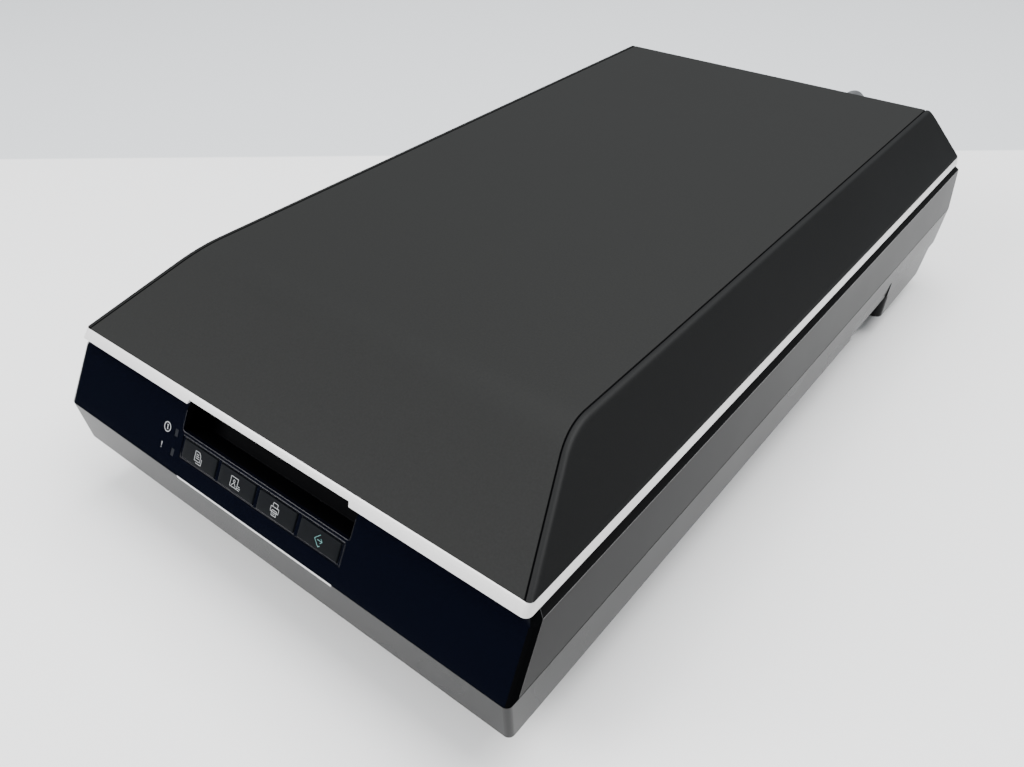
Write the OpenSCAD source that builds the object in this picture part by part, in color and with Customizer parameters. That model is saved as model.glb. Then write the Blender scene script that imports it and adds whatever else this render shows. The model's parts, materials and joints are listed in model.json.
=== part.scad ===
// Flatbed scanner for film negatives and documents, with a lamp unit in its lid.
// Millimetres. X is the width, +Y points to the hinged rear edge, +Z is up.
// The origin is on the desk, under the middle of the base.

/* [Whole scanner] */
// Width of the base at its seam
base_w = 280; // [278:0.5:282]
// Depth of the base
base_d = 485; // [483:0.5:487]
// Height of the closed lid above the desk
total_h = 118; // [117.5:0.1:119]

/* [Base] */
// Height of the seam between the lower and the upper housing
seam_z = 53.3; // [52.8:0.1:53.6]
// Height of the outer edge of the rim
rim_z = 80.7; // [80.5:0.1:81]
// Height of the flat top of the base
deck_z = 83.8; // [83.7:0.1:83.9]
// Height of the lower edge of the front skirt
skirt_z = 30; // [29:0.5:31]
// Distance from the middle to the front edge of the rim
rim_front = 227; // [226:0.5:228]
// Radius of the base's upright corners at the seam
base_corner_r = 2.8; // [2.6:0.1:4]
// Wall thickness of the housings
wall = 2.5; // [2:0.1:2.8]
// Height of the rubber feet
foot_h = 6; // [6:0.1:6.2]
// Length of the glass
glass_l = 307; // [305:1:307]
// Width of the glass
glass_w = 222; // [220:1:222]
// Thickness of the glass
glass_t = 2.7; // [2.5:0.1:2.8]

/* [Control panel] */
// Width of one button cap
button_w = 23.4; // [22:0.1:23.6]
// Height of one button cap
button_h = 8.6; // [8:0.1:8.8]
// Distance from one button to the next
button_pitch = 26; // [25.8:0.1:26.2]
// Travel of a button
button_travel = 0.8; // [0.5:0.1:0.8]
// Width of the finger recess under the lid's edge
recess_w = 108; // [104:1:110]

/* [Lid] */
// Height of the lower edge of the lid's light band
band_z = 85.3; // [85.2:0.1:85.5]
// Height of the top edge of the light band
band_top_z = 90.1; // [89.5:0.1:90.3]
// Half width of the lid's flat top
top_half_w = 113; // [112:0.5:114]
// Distance from the middle to the kink where the lid slopes to the front
kink_y = 168.7; // [166:0.5:170]
// Radius of the rounded kink
kink_r = 50; // [40:1:60]
// Radius of the light band's corners
band_corner_r = 2.6; // [2:0.1:6]
// Radius of the ridges between the lid's top and its leaning sides
ridge_r = 3; // [3:0.5:6]
// Thickness of the lid's covers
cover_t = 2.2; // [2:0.1:2.4]
// Height of the hinge axis
hinge_z = 101; // [100.8:0.1:101.5]
// Distance from the middle to the hinge axis
hinge_y = 232; // [231.5:0.1:232.2]

/* [Scan drive] */
// Teeth of the motor pinion
pinion_teeth = 14; // [14:1:14]
// Teeth of the reduction gear
gear_teeth = 56; // [56:1:56]
// Module of both gears
gear_module = 0.8; // [0.8:0.1:0.8]
// Teeth of the belt pulley, 2 mm apart
pulley_teeth = 20; // [20:1:20]

/* [Lamp cable] */
// Diameter of the cable between the lid and the base
cable_d = 7; // [6:0.5:7]

/* [Hidden] */
fine = 96;

half_w = base_w / 2;
half_d = base_d / 2;
rim_half_w = half_w - 1.4;
skirt_half_w = half_w - 1.3;
skirt_front = half_d - 2.5;
panel_tilt = atan((half_d - rim_front) / (rim_z - seam_z));
panel_l = (rim_z - seam_z) / cos(panel_tilt);
panel_wrap = 5;
panel_t = 2.5;
panel_mid_x = -0.8;
seam_gap = 0.5;

glass_front = -174.5;
glass_z = deck_z - 0.5 - glass_t;
pan_z = foot_h;
floor_z = pan_z + wall;
pan_front = 206;
pan_half_w = 116;
block_front = 142;
block_z = 14;

button_v = 17.4;
light_x = -58.4;
light_v = [13.3, 22.8];
board_depth = 10.6;
bezel_t = 4.6;
recess_v = 10.4;
recess_depth = 14;
liner_t = 1.5;
deck_t = 2.8;

// a thin slice of a housing: [half width, front y, rear y, height, corner radius]
module slice(s) {
    for (sx = [-1, 1])
        for (y = [s[1] + s[4], s[2] - s[4]])
            translate([sx * (s[0] - s[4]), y, s[3]]) cylinder(h = 0.01, r = s[4], $fn = 32);
}

module loft(slices) {
    hull()
        for (s = slices) slice(s);
}

// a place on the sloping control panel: x along it, y into it, z up the slope from its top edge
module on_panel() {
    translate([0, -rim_front, rim_z]) rotate([-panel_tilt, 0, 0]) children();
}

module panel_box(x, v, w, h, d0, d1) {
    on_panel() translate([x - w / 2, d0, -v - h / 2]) cube([w, d1 - d0, h]);
}

module box(lo, hi) {
    translate(lo) cube(hi - lo);
}

module rod_y(x, z, y0, y1, r) {
    translate([x, y0, z]) rotate([-90, 0, 0]) cylinder(h = y1 - y0, r = r, $fn = fine);
}

module rod_x(x0, x1, y, z, r) {
    translate([x0, y, z]) rotate([0, 90, 0]) cylinder(h = x1 - x0, r = r, $fn = fine);
}

// ---------- base housings ----------

module upper_outer() {
    loft([[half_w, -half_d, half_d, seam_z + seam_gap / 2, base_corner_r],
        [rim_half_w, -rim_front, half_d - 0.2, rim_z, base_corner_r],
        [rim_half_w - 3, -rim_front + 3.2, half_d - 3.2, deck_z - 0.01, base_corner_r / 2]]);
}

module upper_inner() {
    loft([[half_w - wall, -half_d + 2.9, half_d - wall, seam_z - 1, 2],
        [rim_half_w - wall, -rim_front + 2.9, half_d - wall - 0.2, deck_z - deck_t - 0.01, 2]]);
}

module finger_pocket(grow, depth) {
    x0 = panel_mid_x - recess_w / 2;
    on_panel() translate([x0 - grow, -12, -recess_v - grow])
        cube([recess_w + 2 * grow, 12 + depth + grow, 40]);
}

socket_x = 80;
post_w = 16;
post_t = 9;
socket_clear = 0.3;

module hinge_wells() {
    for (sx = [-1, 1])
        translate([sx * socket_x - post_w / 2 - 2.3, hinge_y - post_t / 2 - 2.3, 46])
            cube([post_w + 4.6, post_t + 4.6, deck_z - 48]);
}

module hinge_holes() {
    for (sx = [-1, 1])
        translate([sx * socket_x - post_w / 2 - socket_clear,
            hinge_y - post_t / 2 - socket_clear, 40])
            cube([post_w + 2 * socket_clear, post_t + 2 * socket_clear, 60]);
}

usb_x = 62;
inlet_x = -63;
option_x = -10;
lock_x = 105;
port_z = 62;

module rear_cutouts() {
    box([usb_x - 6.2, half_d - 8, port_z - 5.6], [usb_x + 6.2, half_d + 5, port_z + 5.6]);
    translate([inlet_x, half_d - 8, port_z]) rotate([-90, 0, 0])
        cylinder(h = 13, r = 5.3, $fn = fine);
    box([option_x - 14.2, half_d - 8, port_z - 6.2], [option_x + 14.2, half_d + 5, port_z + 6.2]);
    box([lock_x - 3, half_d - 8, port_z - 9], [lock_x + 3, half_d + 5, port_z + 9]);
}

power_y = -186;
power_z = 68;

module upper_housing() {
    color("#17181a")
    difference() {
        union() {
            difference() {
                upper_outer();
                upper_inner();
            }
            intersection() {
                hinge_wells();
                upper_outer();
            }
            for (x = [-52, 48])
                translate([x, 234, board_z + 1.6]) cylinder(h = deck_z - board_z - 3, r = 3,
                    $fn = fine);
            for (s = [-1, 1])
                box([-half_w + 1.2, power_y + 8 * s - 1, power_z - 6],
                    [-half_w + 24, power_y + 8 * s + 1, power_z + 6]);
            box([-glass_w / 2 - 5, glass_front - 5, glass_z - 2.2],
                [glass_w / 2 + 5, glass_front + glass_l + 5, deck_z - 1]);
        }
        on_panel() translate([-half_w - 5, -20, -panel_l - 20])
            cube([base_w + 10, 20 + panel_wrap + 0.3, panel_l + 40]);
        finger_pocket(liner_t + 0.1, recess_depth);
        box([-glass_w / 2 - 0.3, glass_front - 0.3, glass_z],
            [glass_w / 2 + 0.3, glass_front + glass_l + 0.3, deck_z + 2]);
        box([-107, glass_front + 4, 70], [107, glass_front + glass_l - 4, deck_z]);
        hinge_holes();
        box([-half_w + 8, 222, deck_z - 1.6], [half_w - 8, half_d + 1, deck_z + 1]);
        rear_cutouts();
        translate([-half_w - 2, power_y, power_z]) rotate([0, 90, 0])
            cylinder(h = 10, r = 6.3, $fn = fine);
    }
}

// the two posts that carry the control board behind the panel
board_post_x = [-62.6, 53.6];

module front_panel() {
    color("#050607")
    for (x = board_post_x)
        on_panel() translate([x, panel_t - 0.5, -button_v]) rotate([-90, 0, 0])
            cylinder(h = board_depth - panel_t + 0.5, r = 1.4, $fn = fine);
    color("#050607")
    difference() {
        intersection() {
            upper_outer();
            on_panel() translate([-half_w - 5, -20, -panel_l - 20])
                cube([base_w + 10, 20 + panel_wrap, panel_l + 40]);
        }
        on_panel() translate([-half_w + 3.2, panel_t, -panel_l - 20])
            cube([base_w - 6.4, 10, panel_l + 17]);
        finger_pocket(0, recess_depth);
        intersection() {
            finger_pocket(liner_t + 0.05, recess_depth);
            on_panel() translate([-80, panel_t + 0.05, -20]) cube([160, 30, 40]);
        }
        panel_box(panel_mid_x, button_v, 104.9, 11.1, -2, 6);
        for (v = light_v) panel_box(light_x, v, 2.3, 3.7, -2, 6);
    }
}

module recess_liner() {
    color("#0a0b0c")
    intersection() {
        difference() {
            finger_pocket(liner_t, recess_depth);
            finger_pocket(0.01, recess_depth);
        }
        on_panel() translate([-80, panel_t + 0.1, -20]) cube([160, 30, 40]);
        box([-80, -rim_front - 10, 50], [80, -180, deck_z - 0.1]);
    }
}

module button_bezel() {
    color("#101214")
    difference() {
        panel_box(panel_mid_x, button_v, 104.7, 10.9, 0.15, bezel_t);
        for (i = [0 : 3])
            panel_box(panel_mid_x + (i - 1.5) * button_pitch, button_v, button_w + 0.5,
                button_h + 0.5, -1, 8);
    }
}

switch_depth = board_depth - 3.1;
flange_depth = bezel_t + 1.2;
contact_gap = 0.3;

module button_cap(i) {
    x = panel_mid_x + (i - 1.5) * button_pitch;
    color("#23262a") {
        panel_box(x, button_v, button_w, button_h, -0.35, bezel_t + 0.2);
        panel_box(x, button_v, button_w + 1.6, button_h + 1.6, bezel_t + 0.2, flange_depth);
        on_panel() translate([x, flange_depth, -button_v]) rotate([-90, 0, 0])
            cylinder(h = switch_depth - contact_gap - button_travel - flange_depth, r = 2,
                $fn = fine);
    }
}

module light_window(v) {
    color("#6d7074") panel_box(light_x, v, 2.1, 3.5, 0.05, board_depth - 2.4);
}

module control_board() {
    color("#1f5a36")
        panel_box(panel_mid_x - 4, button_v + 0.6, 120, 11, board_depth, board_depth + 1.6);
    color("#202020")
    for (i = [0 : 3]) {
        x = panel_mid_x + (i - 1.5) * button_pitch;
        panel_box(x, button_v, 6, 6, board_depth - 2.6, board_depth);
        on_panel() translate([x, switch_depth, -button_v]) rotate([-90, 0, 0])
            cylinder(h = 0.5, r = 1.6, $fn = fine);
    }
    color("white")
    for (v = light_v) panel_box(light_x, v, 1.6, 3, board_depth - 1.2, board_depth);
    color("#3a3a3a")
        panel_box(56, button_v, 7, 6, board_depth + 1.6, board_depth + 6);
}

module trim_strip() {
    color("#c9cbce")
        box([panel_mid_x - 51, -half_d, seam_z - 1.25], [panel_mid_x + 51, -half_d + 4,
            seam_z + 0.1]);
}

module power_button() {
    color("#202225")
    translate([0, power_y, power_z]) rotate([0, 90, 0]) {
        translate([0, 0, -half_w + 0.3]) cylinder(h = 7.6, r = 6, $fn = fine);
        translate([0, 0, -half_w + 4.9]) cylinder(h = 1.5, r = 6.7, $fn = fine);
        translate([0, 0, -half_w + 7.9]) cylinder(h = 6, r = 2, $fn = fine);
    }
}

module power_switch() {
    color("#303030")
    difference() {
        box([-half_w + 13, power_y - 7, power_z - 6], [-half_w + 25, power_y + 7, power_z + 6]);
        translate([-half_w + 12, power_y, power_z]) rotate([0, 90, 0])
            cylinder(h = 5, r = 2.6, $fn = fine);
    }
    color("#1f5a36")
        box([-half_w + 25, power_y - 12, power_z - 9], [-half_w + 26.6, power_y + 12, power_z + 9]);
}

// ---------- lower housing ----------

module tray_outer(g) {
    loft([[half_w - g, -half_d + g, half_d - g, seam_z - seam_gap / 2, base_corner_r - g / 2],
        [skirt_half_w - g, -skirt_front + g, half_d - 7.5 - g, skirt_z + g, base_corner_r - g / 2]]);
}

module pan_outer(g) {
    loft([[pan_half_w + 5 - g, -pan_front - 6 + g, 200, skirt_z + g + 0.5, 8],
        [pan_half_w - g, -pan_front + g, 200 - g, pan_z + g, 8]]);
}

module rear_block(g) {
    loft([[skirt_half_w - g, block_front + g, 227 - g, skirt_z + g + 1, 4 - g / 2],
        [half_w - 2.1 - g, block_front + g, 216 - g, block_z + g / 2, 4 - g / 2],
        [half_w - 14 - g, block_front + 8 + g, 206 - g, pan_z + g, 4 - g / 2]]);
}

boss_xy = [[-104, -186], [104, -186], [-104, 0], [104, 0], [-104, 186], [104, 186]];

module grip_scoops() {
    for (sx = [-1, 1])
        scale([sx, 1, 1])
            translate([0, block_front, 0]) rotate([90, 0, 0]) linear_extrude(60)
                polygon([[half_w - 0.85, 41], [half_w + 3, 41], [half_w + 3, 28],
                    [half_w - 2.6, 28]]);
}

module lower_housing() {
    color("#17181a") {
        difference() {
            union() {
                tray_outer(0);
                pan_outer(0);
                rear_block(0);
            }
            translate([0, 0, 0.01]) tray_outer(wall);
            box([-half_w + 8, -half_d + 8, seam_z - 6], [half_w - 8, half_d - 8, seam_z + 4]);
            pan_outer(wall);
            rear_block(wall);
            box([panel_mid_x - 51.2, -half_d - 1, seam_z - 1.45],
                [panel_mid_x + 51.2, -half_d + 4.2, seam_z + 2]);
            grip_scoops();
            for (p = boss_xy)
                translate([p[0], p[1], pan_z - 1]) cylinder(h = 4, r = 1.6, $fn = fine);
        }
        for (p = boss_xy)
            translate([p[0], p[1], floor_z])
                difference() {
                    cylinder(h = 12, r = 4, $fn = fine);
                    translate([0, 0, -1]) cylinder(h = 14, r = 1.6, $fn = fine);
                }
        box([rail_x - 3, -200, floor_z - 0.5], [rail_x + 3, 198, rail_top]);
    }
}

module rubber_feet() {
    color("#1b1b1b")
    for (x = [-92, 92])
        for (y = [-178, 178])
            translate([x, y, 0]) cylinder(h = foot_h, r = 8, $fn = fine);
}

module housing_screws() {
    color("#8b8d90")
    for (p = boss_xy) {
        translate([p[0], p[1], pan_z - 2]) cylinder(h = 2, r = 3, $fn = fine);
        translate([p[0], p[1], pan_z - 0.5]) cylinder(h = 14, r = 1.5, $fn = fine);
    }
}

// ---------- glass ----------

module document_glass() {
    color([0.75, 0.82, 0.84, 0.5])
        box([-glass_w / 2, glass_front, glass_z], [glass_w / 2, glass_front + glass_l,
            glass_z + glass_t]);
}

module calibration_strip() {
    color("white")
        box([-106, glass_front + glass_l - 16, glass_z - 0.2],
            [106, glass_front + glass_l - 5, glass_z]);
}

// ---------- scan drive ----------

rod_xx = -78;
rod_z = 24;
rod_r = 4;
rail_x = 86;
rail_top = 26;
belt_x = -40;
belt_w = 6;
belt_z = 17;
pulley_y = 172;
idler_y = -194;
pulley_r = pulley_teeth * 2 / (2 * PI);
gear_z = 9.6;
gear_h = 4;
gear_dist = gear_module * (pinion_teeth + gear_teeth) / 2 + 0.08;
scan_home = 146;
carriage_front = 120;
carriage_rear = 196;
carriage_z = 30.5;
carriage_top = 74;
carriage_half_w = 104;

module guide_rod() {
    color("#c4c7ca") rod_y(rod_xx, rod_z, -203, 203, rod_r);
}

module rod_holders() {
    color("#2a2c2e")
    for (y = [-203, 195])
        difference() {
            box([rod_xx - 9, y, floor_z], [rod_xx + 9, y + 8, rod_z + 6]);
            rod_y(rod_xx, rod_z, y - 1, y + 9, rod_r);
        }
}

module scan_carriage() {
    color("#1d1e20")
    difference() {
        union() {
            box([-carriage_half_w, carriage_front, carriage_z], [carriage_half_w, carriage_rear,
                carriage_top]);
            for (y = [124, 182])
                box([rod_xx - 9.5, y, rod_z - 7.5], [rod_xx + 9.5, y + 10, carriage_z]);
            box([belt_x - 11.5, 126, belt_z - 2], [belt_x - 3, 134, carriage_z]);
            box([rail_x - 5, 124, rail_top + 0.3], [rail_x + 5, 190, carriage_z]);
        }
        box([-carriage_half_w + wall, carriage_front + wall, carriage_z + wall],
            [carriage_half_w - wall, carriage_rear - wall, carriage_top - 1.6]);
        box([-carriage_half_w + 6, scan_home - 3, carriage_top - 3], [carriage_half_w - 6,
            scan_home + 3, carriage_top + 1]);
        for (y = [123, 181]) rod_y(rod_xx, rod_z, y, y + 12, 6.5);
        box([belt_x - pulley_r - 1.7, 125, belt_z - 0.3], [belt_x - pulley_r + 0.4, 135,
            belt_z + belt_w + 0.3]);
        box([12, carriage_rear - 4, 40], [58, carriage_rear + 1, 46]);
    }
}

module carriage_bushings() {
    color("#b08d4a")
    for (y = [124, 182])
        difference() {
            rod_y(rod_xx, rod_z, y, y + 10, 6.5);
            rod_y(rod_xx, rod_z, y - 1, y + 11, rod_r + 0.05);
        }
}

module scan_lamp() {
    color("#e9edf0") {
        box([-98, scan_home - 12, 66], [98, scan_home - 6, 71.5]);
        box([-98, scan_home - 13.5, 60], [98, scan_home - 12, 71.5]);
    }
}

// each mirror: [y, z, tilt, height]
mirror_set = [[146, 42, 45, 18], [177, 42, -38, 16], [132, 56, 30, 14], [179, 60, -24, 12]];

module carriage_mirrors() {
    color("#cfd6da")
    for (m = mirror_set)
        translate([-90, m[0], m[1]]) rotate([m[2], 0, 0]) translate([0, -1, -m[3] / 2])
            cube([180, 2, m[3]]);
}

module carriage_lens() {
    color("#303338")
        rod_y(0, 52, 148, 168, 9);
    color("#7a8892")
        rod_y(0, 52, 145.5, 148, 6.5);
}

module sensor_board() {
    color("#1f5a36")
        box([-45, 188.5, 36], [45, 190.1, 66]);
    color("#2c2c2c")
        box([-30, 186, 48], [30, 188.5, 56]);
}

// the outline of a belt round two pulleys in line along Y
module belt_outline(x, y0, y1, r) {
    translate([x, y0]) circle(r = r, $fn = fine);
    translate([x, y1]) circle(r = r, $fn = fine);
    translate([x - r, y0]) square([2 * r, y1 - y0]);
}

belt_t = 1.15;
belt_slack = 0.05;

module belt_loop(x, y0, y1, r) {
    difference() {
        belt_outline(x, y0, y1, r + belt_t + belt_slack);
        belt_outline(x, y0, y1, r + belt_slack);
    }
}

module drive_belt() {
    color("#15181a")
    translate([0, 0, belt_z])
        linear_extrude(belt_w) belt_loop(belt_x, idler_y, pulley_y, pulley_r);
}

// the angle, in degrees, by which an involute has turned at pressure angle a
function involute(a) = tan(a) * 180 / PI - a;

// half the tooth's angle at radius r, for a gear of z teeth
function half_tooth(r, z, m, thin) =
    let (rp = m * z / 2, rb = rp * cos(20), a = r > rb ? acos(rb / r) : 0)
    90 / z - thin * 90 / (PI * rp) + involute(20) - involute(a);

// the outline of a spur gear, one tooth centred on +X
function gear_outline(z, m, thin = 0.1, steps = 5) =
    let (rp = m * z / 2, r0 = rp - 1.25 * m, r1 = rp + 0.95 * m)
    [for (i = [0 : z - 1], k = [0 : 2 * steps + 1])
        let (s = k <= steps ? k : 2 * steps + 1 - k, side = k <= steps ? -1 : 1,
            r = r0 + (r1 - r0) * s / steps, a = 360 * i / z + side * half_tooth(r, z, m, thin))
        [r * cos(a), r * sin(a)]];

module drive_gear() {
    color("#e8e4d8")
    translate([belt_x, pulley_y, 0])
        difference() {
            union() {
                translate([0, 0, gear_z]) linear_extrude(gear_h)
                    polygon(gear_outline(gear_teeth, gear_module));
                translate([0, 0, gear_z]) cylinder(h = belt_z + belt_w + 0.6 - gear_z,
                    r = pulley_r - 0.3, $fn = fine);
                translate([0, 0, belt_z - 1.6]) cylinder(h = 1.2, r = 8, $fn = fine);
                translate([0, 0, belt_z + belt_w + 0.4]) cylinder(h = 1.2, r = 8, $fn = fine);
            }
            cylinder(h = 40, r = 2.55, $fn = fine);
            for (i = [0 : 5])
                rotate(60 * i) translate([14, 0, gear_z - 1]) cylinder(h = 9, r = 3.4, $fn = fine);
        }
}

module drive_axles() {
    color("#c4c7ca") {
        translate([belt_x, pulley_y, floor_z]) cylinder(h = 19, r = 2.5, $fn = fine);
        translate([belt_x, pulley_y, floor_z]) cylinder(h = 0.8, r = 5, $fn = fine);
        translate([belt_x, idler_y, floor_z]) cylinder(h = 19, r = 2.5, $fn = fine);
        translate([belt_x, idler_y, floor_z]) cylinder(h = 6, r = 5, $fn = fine);
    }
}

module idler_pulley() {
    color("#d9d5c8")
    translate([belt_x, idler_y, 0])
        difference() {
            union() {
                translate([0, 0, belt_z - 1.6]) cylinder(h = belt_w + 3.2, r = pulley_r - 0.3,
                    $fn = fine);
                translate([0, 0, belt_z - 1.6]) cylinder(h = 1.2, r = 8, $fn = fine);
                translate([0, 0, belt_z + belt_w + 0.4]) cylinder(h = 1.2, r = 8, $fn = fine);
            }
            cylinder(h = 40, r = 2.55, $fn = fine);
        }
}

motor_x = belt_x + gear_dist;

module motor_pinion() {
    color("#c9a24a")
    translate([motor_x, pulley_y, gear_z])
        difference() {
            rotate(180 + 180 / pinion_teeth) linear_extrude(gear_h)
                polygon(gear_outline(pinion_teeth, gear_module));
            translate([0, 0, -1]) cylinder(h = gear_h + 2, r = 1.05, $fn = fine);
        }
}

module motor_shaft_and_can(z0, can_h, can_r, shaft_l) {
    translate([0, 0, z0]) cylinder(h = can_h, r = can_r, $fn = fine);
    translate([0, 0, z0 - shaft_l]) cylinder(h = shaft_l + 1, r = 1, $fn = fine);
}

module scan_motor() {
    color("#8f9296")
    translate([motor_x, pulley_y, 0])
        motor_shaft_and_can(15.5, 13.8, 14, 6);
}

module motor_bracket() {
    color("#a9acb0")
    difference() {
        union() {
            box([motor_x - 15, pulley_y - 19, 14.1], [motor_x + 19, pulley_y + 19, 15.5]);
            for (s = [-1, 1])
                translate([motor_x - 4, pulley_y + s * 18 - 1, floor_z]) cube([20, 2, 6]);
        }
        translate([motor_x, pulley_y, 10]) cylinder(h = 10, r = 3, $fn = fine);
    }
}

module carriage_ribbon() {
    color("#d8d8d2")
    translate([20, 0, 0]) rotate([90, 0, 90]) linear_extrude(30)
        polygon([[192.2, 42.6], [200, 42.6], [203.2, 46], [203.2, 54.8], [204, 54.8],
            [204, 45.6], [200.4, 41.8], [192.2, 41.8]]);
}

// ---------- boards and sockets at the rear ----------

board_z = 54.8;

module main_board() {
    color("#1f5a36")
    difference() {
        box([-78, 200, board_z], [usb_x + 7, half_d - 4, board_z + 1.6]);
        box([-95, hinge_y - 8, board_z - 1], [-66, half_d, board_z + 3]);
    }
    color("#26282a") {
        box([-30, 206, board_z + 1.6], [-8, 222, board_z + 3.2]);
        box([14, 206, board_z + 1.6], [46, 216, board_z + 9]);
    }
    color("#9aa0a4")
    for (i = [0 : 4])
        translate([10 + 9 * i, 224, board_z + 1.6]) cylinder(h = 8, r = 3.2, $fn = fine);
}

module usb_port() {
    color("#b9bcc0")
    difference() {
        box([usb_x - 6, half_d - 19, board_z + 1.6], [usb_x + 6, half_d - 1, board_z + 12.6]);
        box([usb_x - 4.3, half_d - 17, board_z + 3], [usb_x + 4.3, half_d, board_z + 11.2]);
    }
    color("white")
        box([usb_x - 2.8, half_d - 17.5, board_z + 5.6], [usb_x + 2.8, half_d - 6, board_z + 8.8]);
}

module power_inlet() {
    color("#1c1c1e")
    difference() {
        union() {
            box([inlet_x - 4.6, half_d - 16, board_z + 1.6], [inlet_x + 4.6, half_d - 4,
                board_z + 11.4]);
            translate([inlet_x, half_d - 4.1, port_z]) rotate([-90, 0, 0])
                cylinder(h = 3.2, r = 5.1, $fn = fine);
        }
        rod_y(inlet_x, port_z, half_d - 13, half_d, 3.2);
    }
    color("#c4c7ca") rod_y(inlet_x, port_z, half_d - 14, half_d - 6, 1);
}

module option_port() {
    color("#242528")
    difference() {
        box([option_x - 14, half_d - 18, board_z + 1.6], [option_x + 14, half_d - 1,
            board_z + 13]);
        box([option_x - 12, half_d - 12, board_z + 3.2], [option_x + 12, half_d, board_z + 11.2]);
    }
}

module transport_lock() {
    color("#33363a") {
        box([lock_x - 2.6, half_d - 6, port_z - 8.6], [lock_x + 2.6, half_d + 0.2, port_z + 1]);
        box([lock_x - 6, half_d - 7.6, port_z - 11], [lock_x + 6, half_d - 4.2, port_z + 3]);
    }
}

// ---------- lid shells ----------

band_front = 224.7;
band_rear = 237.9;
band_half_w = 136.3;
rear_top = 231.2;
drop = total_h - band_top_z;
slope_a = atan(drop / (band_front - kink_y));
lean_a = atan((band_half_w - top_half_w) / drop);
rear_a = atan((band_rear - rear_top) / drop);
arc_y = -kink_y + kink_r * tan(slope_a / 2);
arc_z = total_h - kink_r;
low_z = 84;

// x of a point that lies g inside the leaning side, at height z
function side_x(z, g) = top_half_w + (total_h - z) * tan(lean_a) - g / cos(lean_a);

// y of a point that lies g inside the front slope, at height z
function front_y(z, g) = -kink_y - (total_h - z) / tan(slope_a) + g / sin(slope_a);

// y of a point that lies g inside the rear wall, at height z
function rear_y(z, g) = rear_top + (total_h - z) * tan(rear_a) - g / cos(rear_a);

// height of the lid's top along its length
function lid_z(y) = y > arc_y ? total_h
    : y > arc_y - kink_r * sin(slope_a) ? arc_z + sqrt(kink_r * kink_r - (y - arc_y) * (y - arc_y))
    : total_h - (-kink_y - y) * tan(slope_a);

module lid_solid(g) {
    e = g + ridge_r;
    arc = [for (k = [0 : 4]) let (a = slope_a * k / 4)
        [arc_y - (kink_r - e) * sin(a), arc_z + (kink_r - e) * cos(a)]];
    ends = [[front_y(low_z, e), low_z], [rear_y(total_h - e, e), total_h - e],
        [rear_y(low_z, e), low_z]];
    hull()
        for (sx = [-1, 1])
            for (p = concat(arc, ends))
                translate([sx * side_x(p[1], e), p[0], p[1]])
                    sphere(r = ridge_r / cos(180 / 28), $fn = 28);
}

groove_in = 3.3;
groove_w = 0.8;

// the outline of the top cover seen from above, grown sideways by g
module top_cover_plan(g) {
    ys = [for (k = [0 : 10]) -232 + k * (arc_y + 232) / 10];
    right = [for (y = ys) [side_x(lid_z(y), 0) - groove_in + g, y]];
    left = [for (k = [10 : -1 : 0]) [-right[k][0], right[k][1]]];
    polygon(concat(right, [[top_half_w - groove_in + g, 250], [-top_half_w + groove_in - g, 250]],
        left));
}

module cover_space() {
    box([-160, -260, band_top_z + 0.05], [160, 260, 140]);
}

module hinge_notches() {
    for (sx = [-1, 1])
        box([sx * socket_x - 14.6, 222, 80], [sx * socket_x + 14.6, 250, hinge_z + 6.5]);
}

cable_x = 52;
cable_z = 106.5;

module lid_top_cover() {
    color("#3a3c3e")
    difference() {
        intersection() {
            lid_solid(0);
            cover_space();
            linear_extrude(140) top_cover_plan(0);
        }
        lid_solid(cover_t);
        hinge_notches();
        rod_y(cable_x, cable_z, 220, 250, 4.3);
    }
}

module lid_side(sx) {
    color("#2c2e30")
    difference() {
        intersection() {
            lid_solid(0);
            cover_space();
            translate([sx > 0 ? 0 : -160, -260, 0]) cube([160, 520, 140]);
        }
        lid_solid(cover_t);
        translate([0, 0, 1]) linear_extrude(140) top_cover_plan(groove_w);
    }
}

module lid_side_cover_left() {
    lid_side(-1);
}

module lid_side_cover_right() {
    lid_side(1);
}

band_lip = 7;

module band_outer() {
    loft([[band_half_w + 1, -228.2, 237.5, band_z, band_corner_r],
        [band_half_w, -band_front, band_rear, band_top_z - 0.01, band_corner_r]]);
}

module lid_band() {
    color("#cfd1d3")
    difference() {
        band_outer();
        box([-band_half_w + band_lip, -band_front + band_lip, 80], [band_half_w - band_lip,
            band_rear - band_lip, 95]);
        box([panel_mid_x - 51, -240, 80], [panel_mid_x + 51, -218, band_z + 1.8]);
        hinge_notches();
        box([-socket_x, 220, 80], [socket_x, 250, 95]);
    }
}

under_z = band_z + 0.3;
mat_z = deck_z + 0.3;
mat_t = 3;
mat_front = -170;
mat_rear = 128;
mat_half_w = 106;
window_half_w = 34.5;
window_l = 247;
window_y = -148;

module lid_under_cover() {
    color("#2a2c2e")
    difference() {
        union() {
            box([-128.9, -217.2, under_z], [128.9, 230.4, under_z + 3.6]);
            box([-65, 230, under_z], [65, 237, band_top_z - 0.2]);
            for (sx = [-1, 1])
                for (y = [-150, 30])
                    translate([sx * 98, y, under_z])
                        cylinder(h = total_h - cover_t - under_z - 0.05, r = 3.5, $fn = fine);
        }
        box([-mat_half_w - 2, mat_front - 20, 80], [mat_half_w + 2, mat_rear + 2,
            mat_z + mat_t + 0.3]);
        box([-window_half_w, window_y, 80], [window_half_w, window_y + window_l, 95]);
        box([-window_half_w - 4, window_y - 4, under_z + 2.2], [window_half_w + 4,
            window_y + window_l + 4, 95]);
        hinge_notches();
    }
}

module film_window() {
    color([0.9, 0.92, 0.92, 0.6])
        box([-window_half_w - 3.8, window_y - 3.8, under_z + 2.2], [window_half_w + 3.8,
            window_y + window_l + 3.8, under_z + 4]);
}

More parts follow.
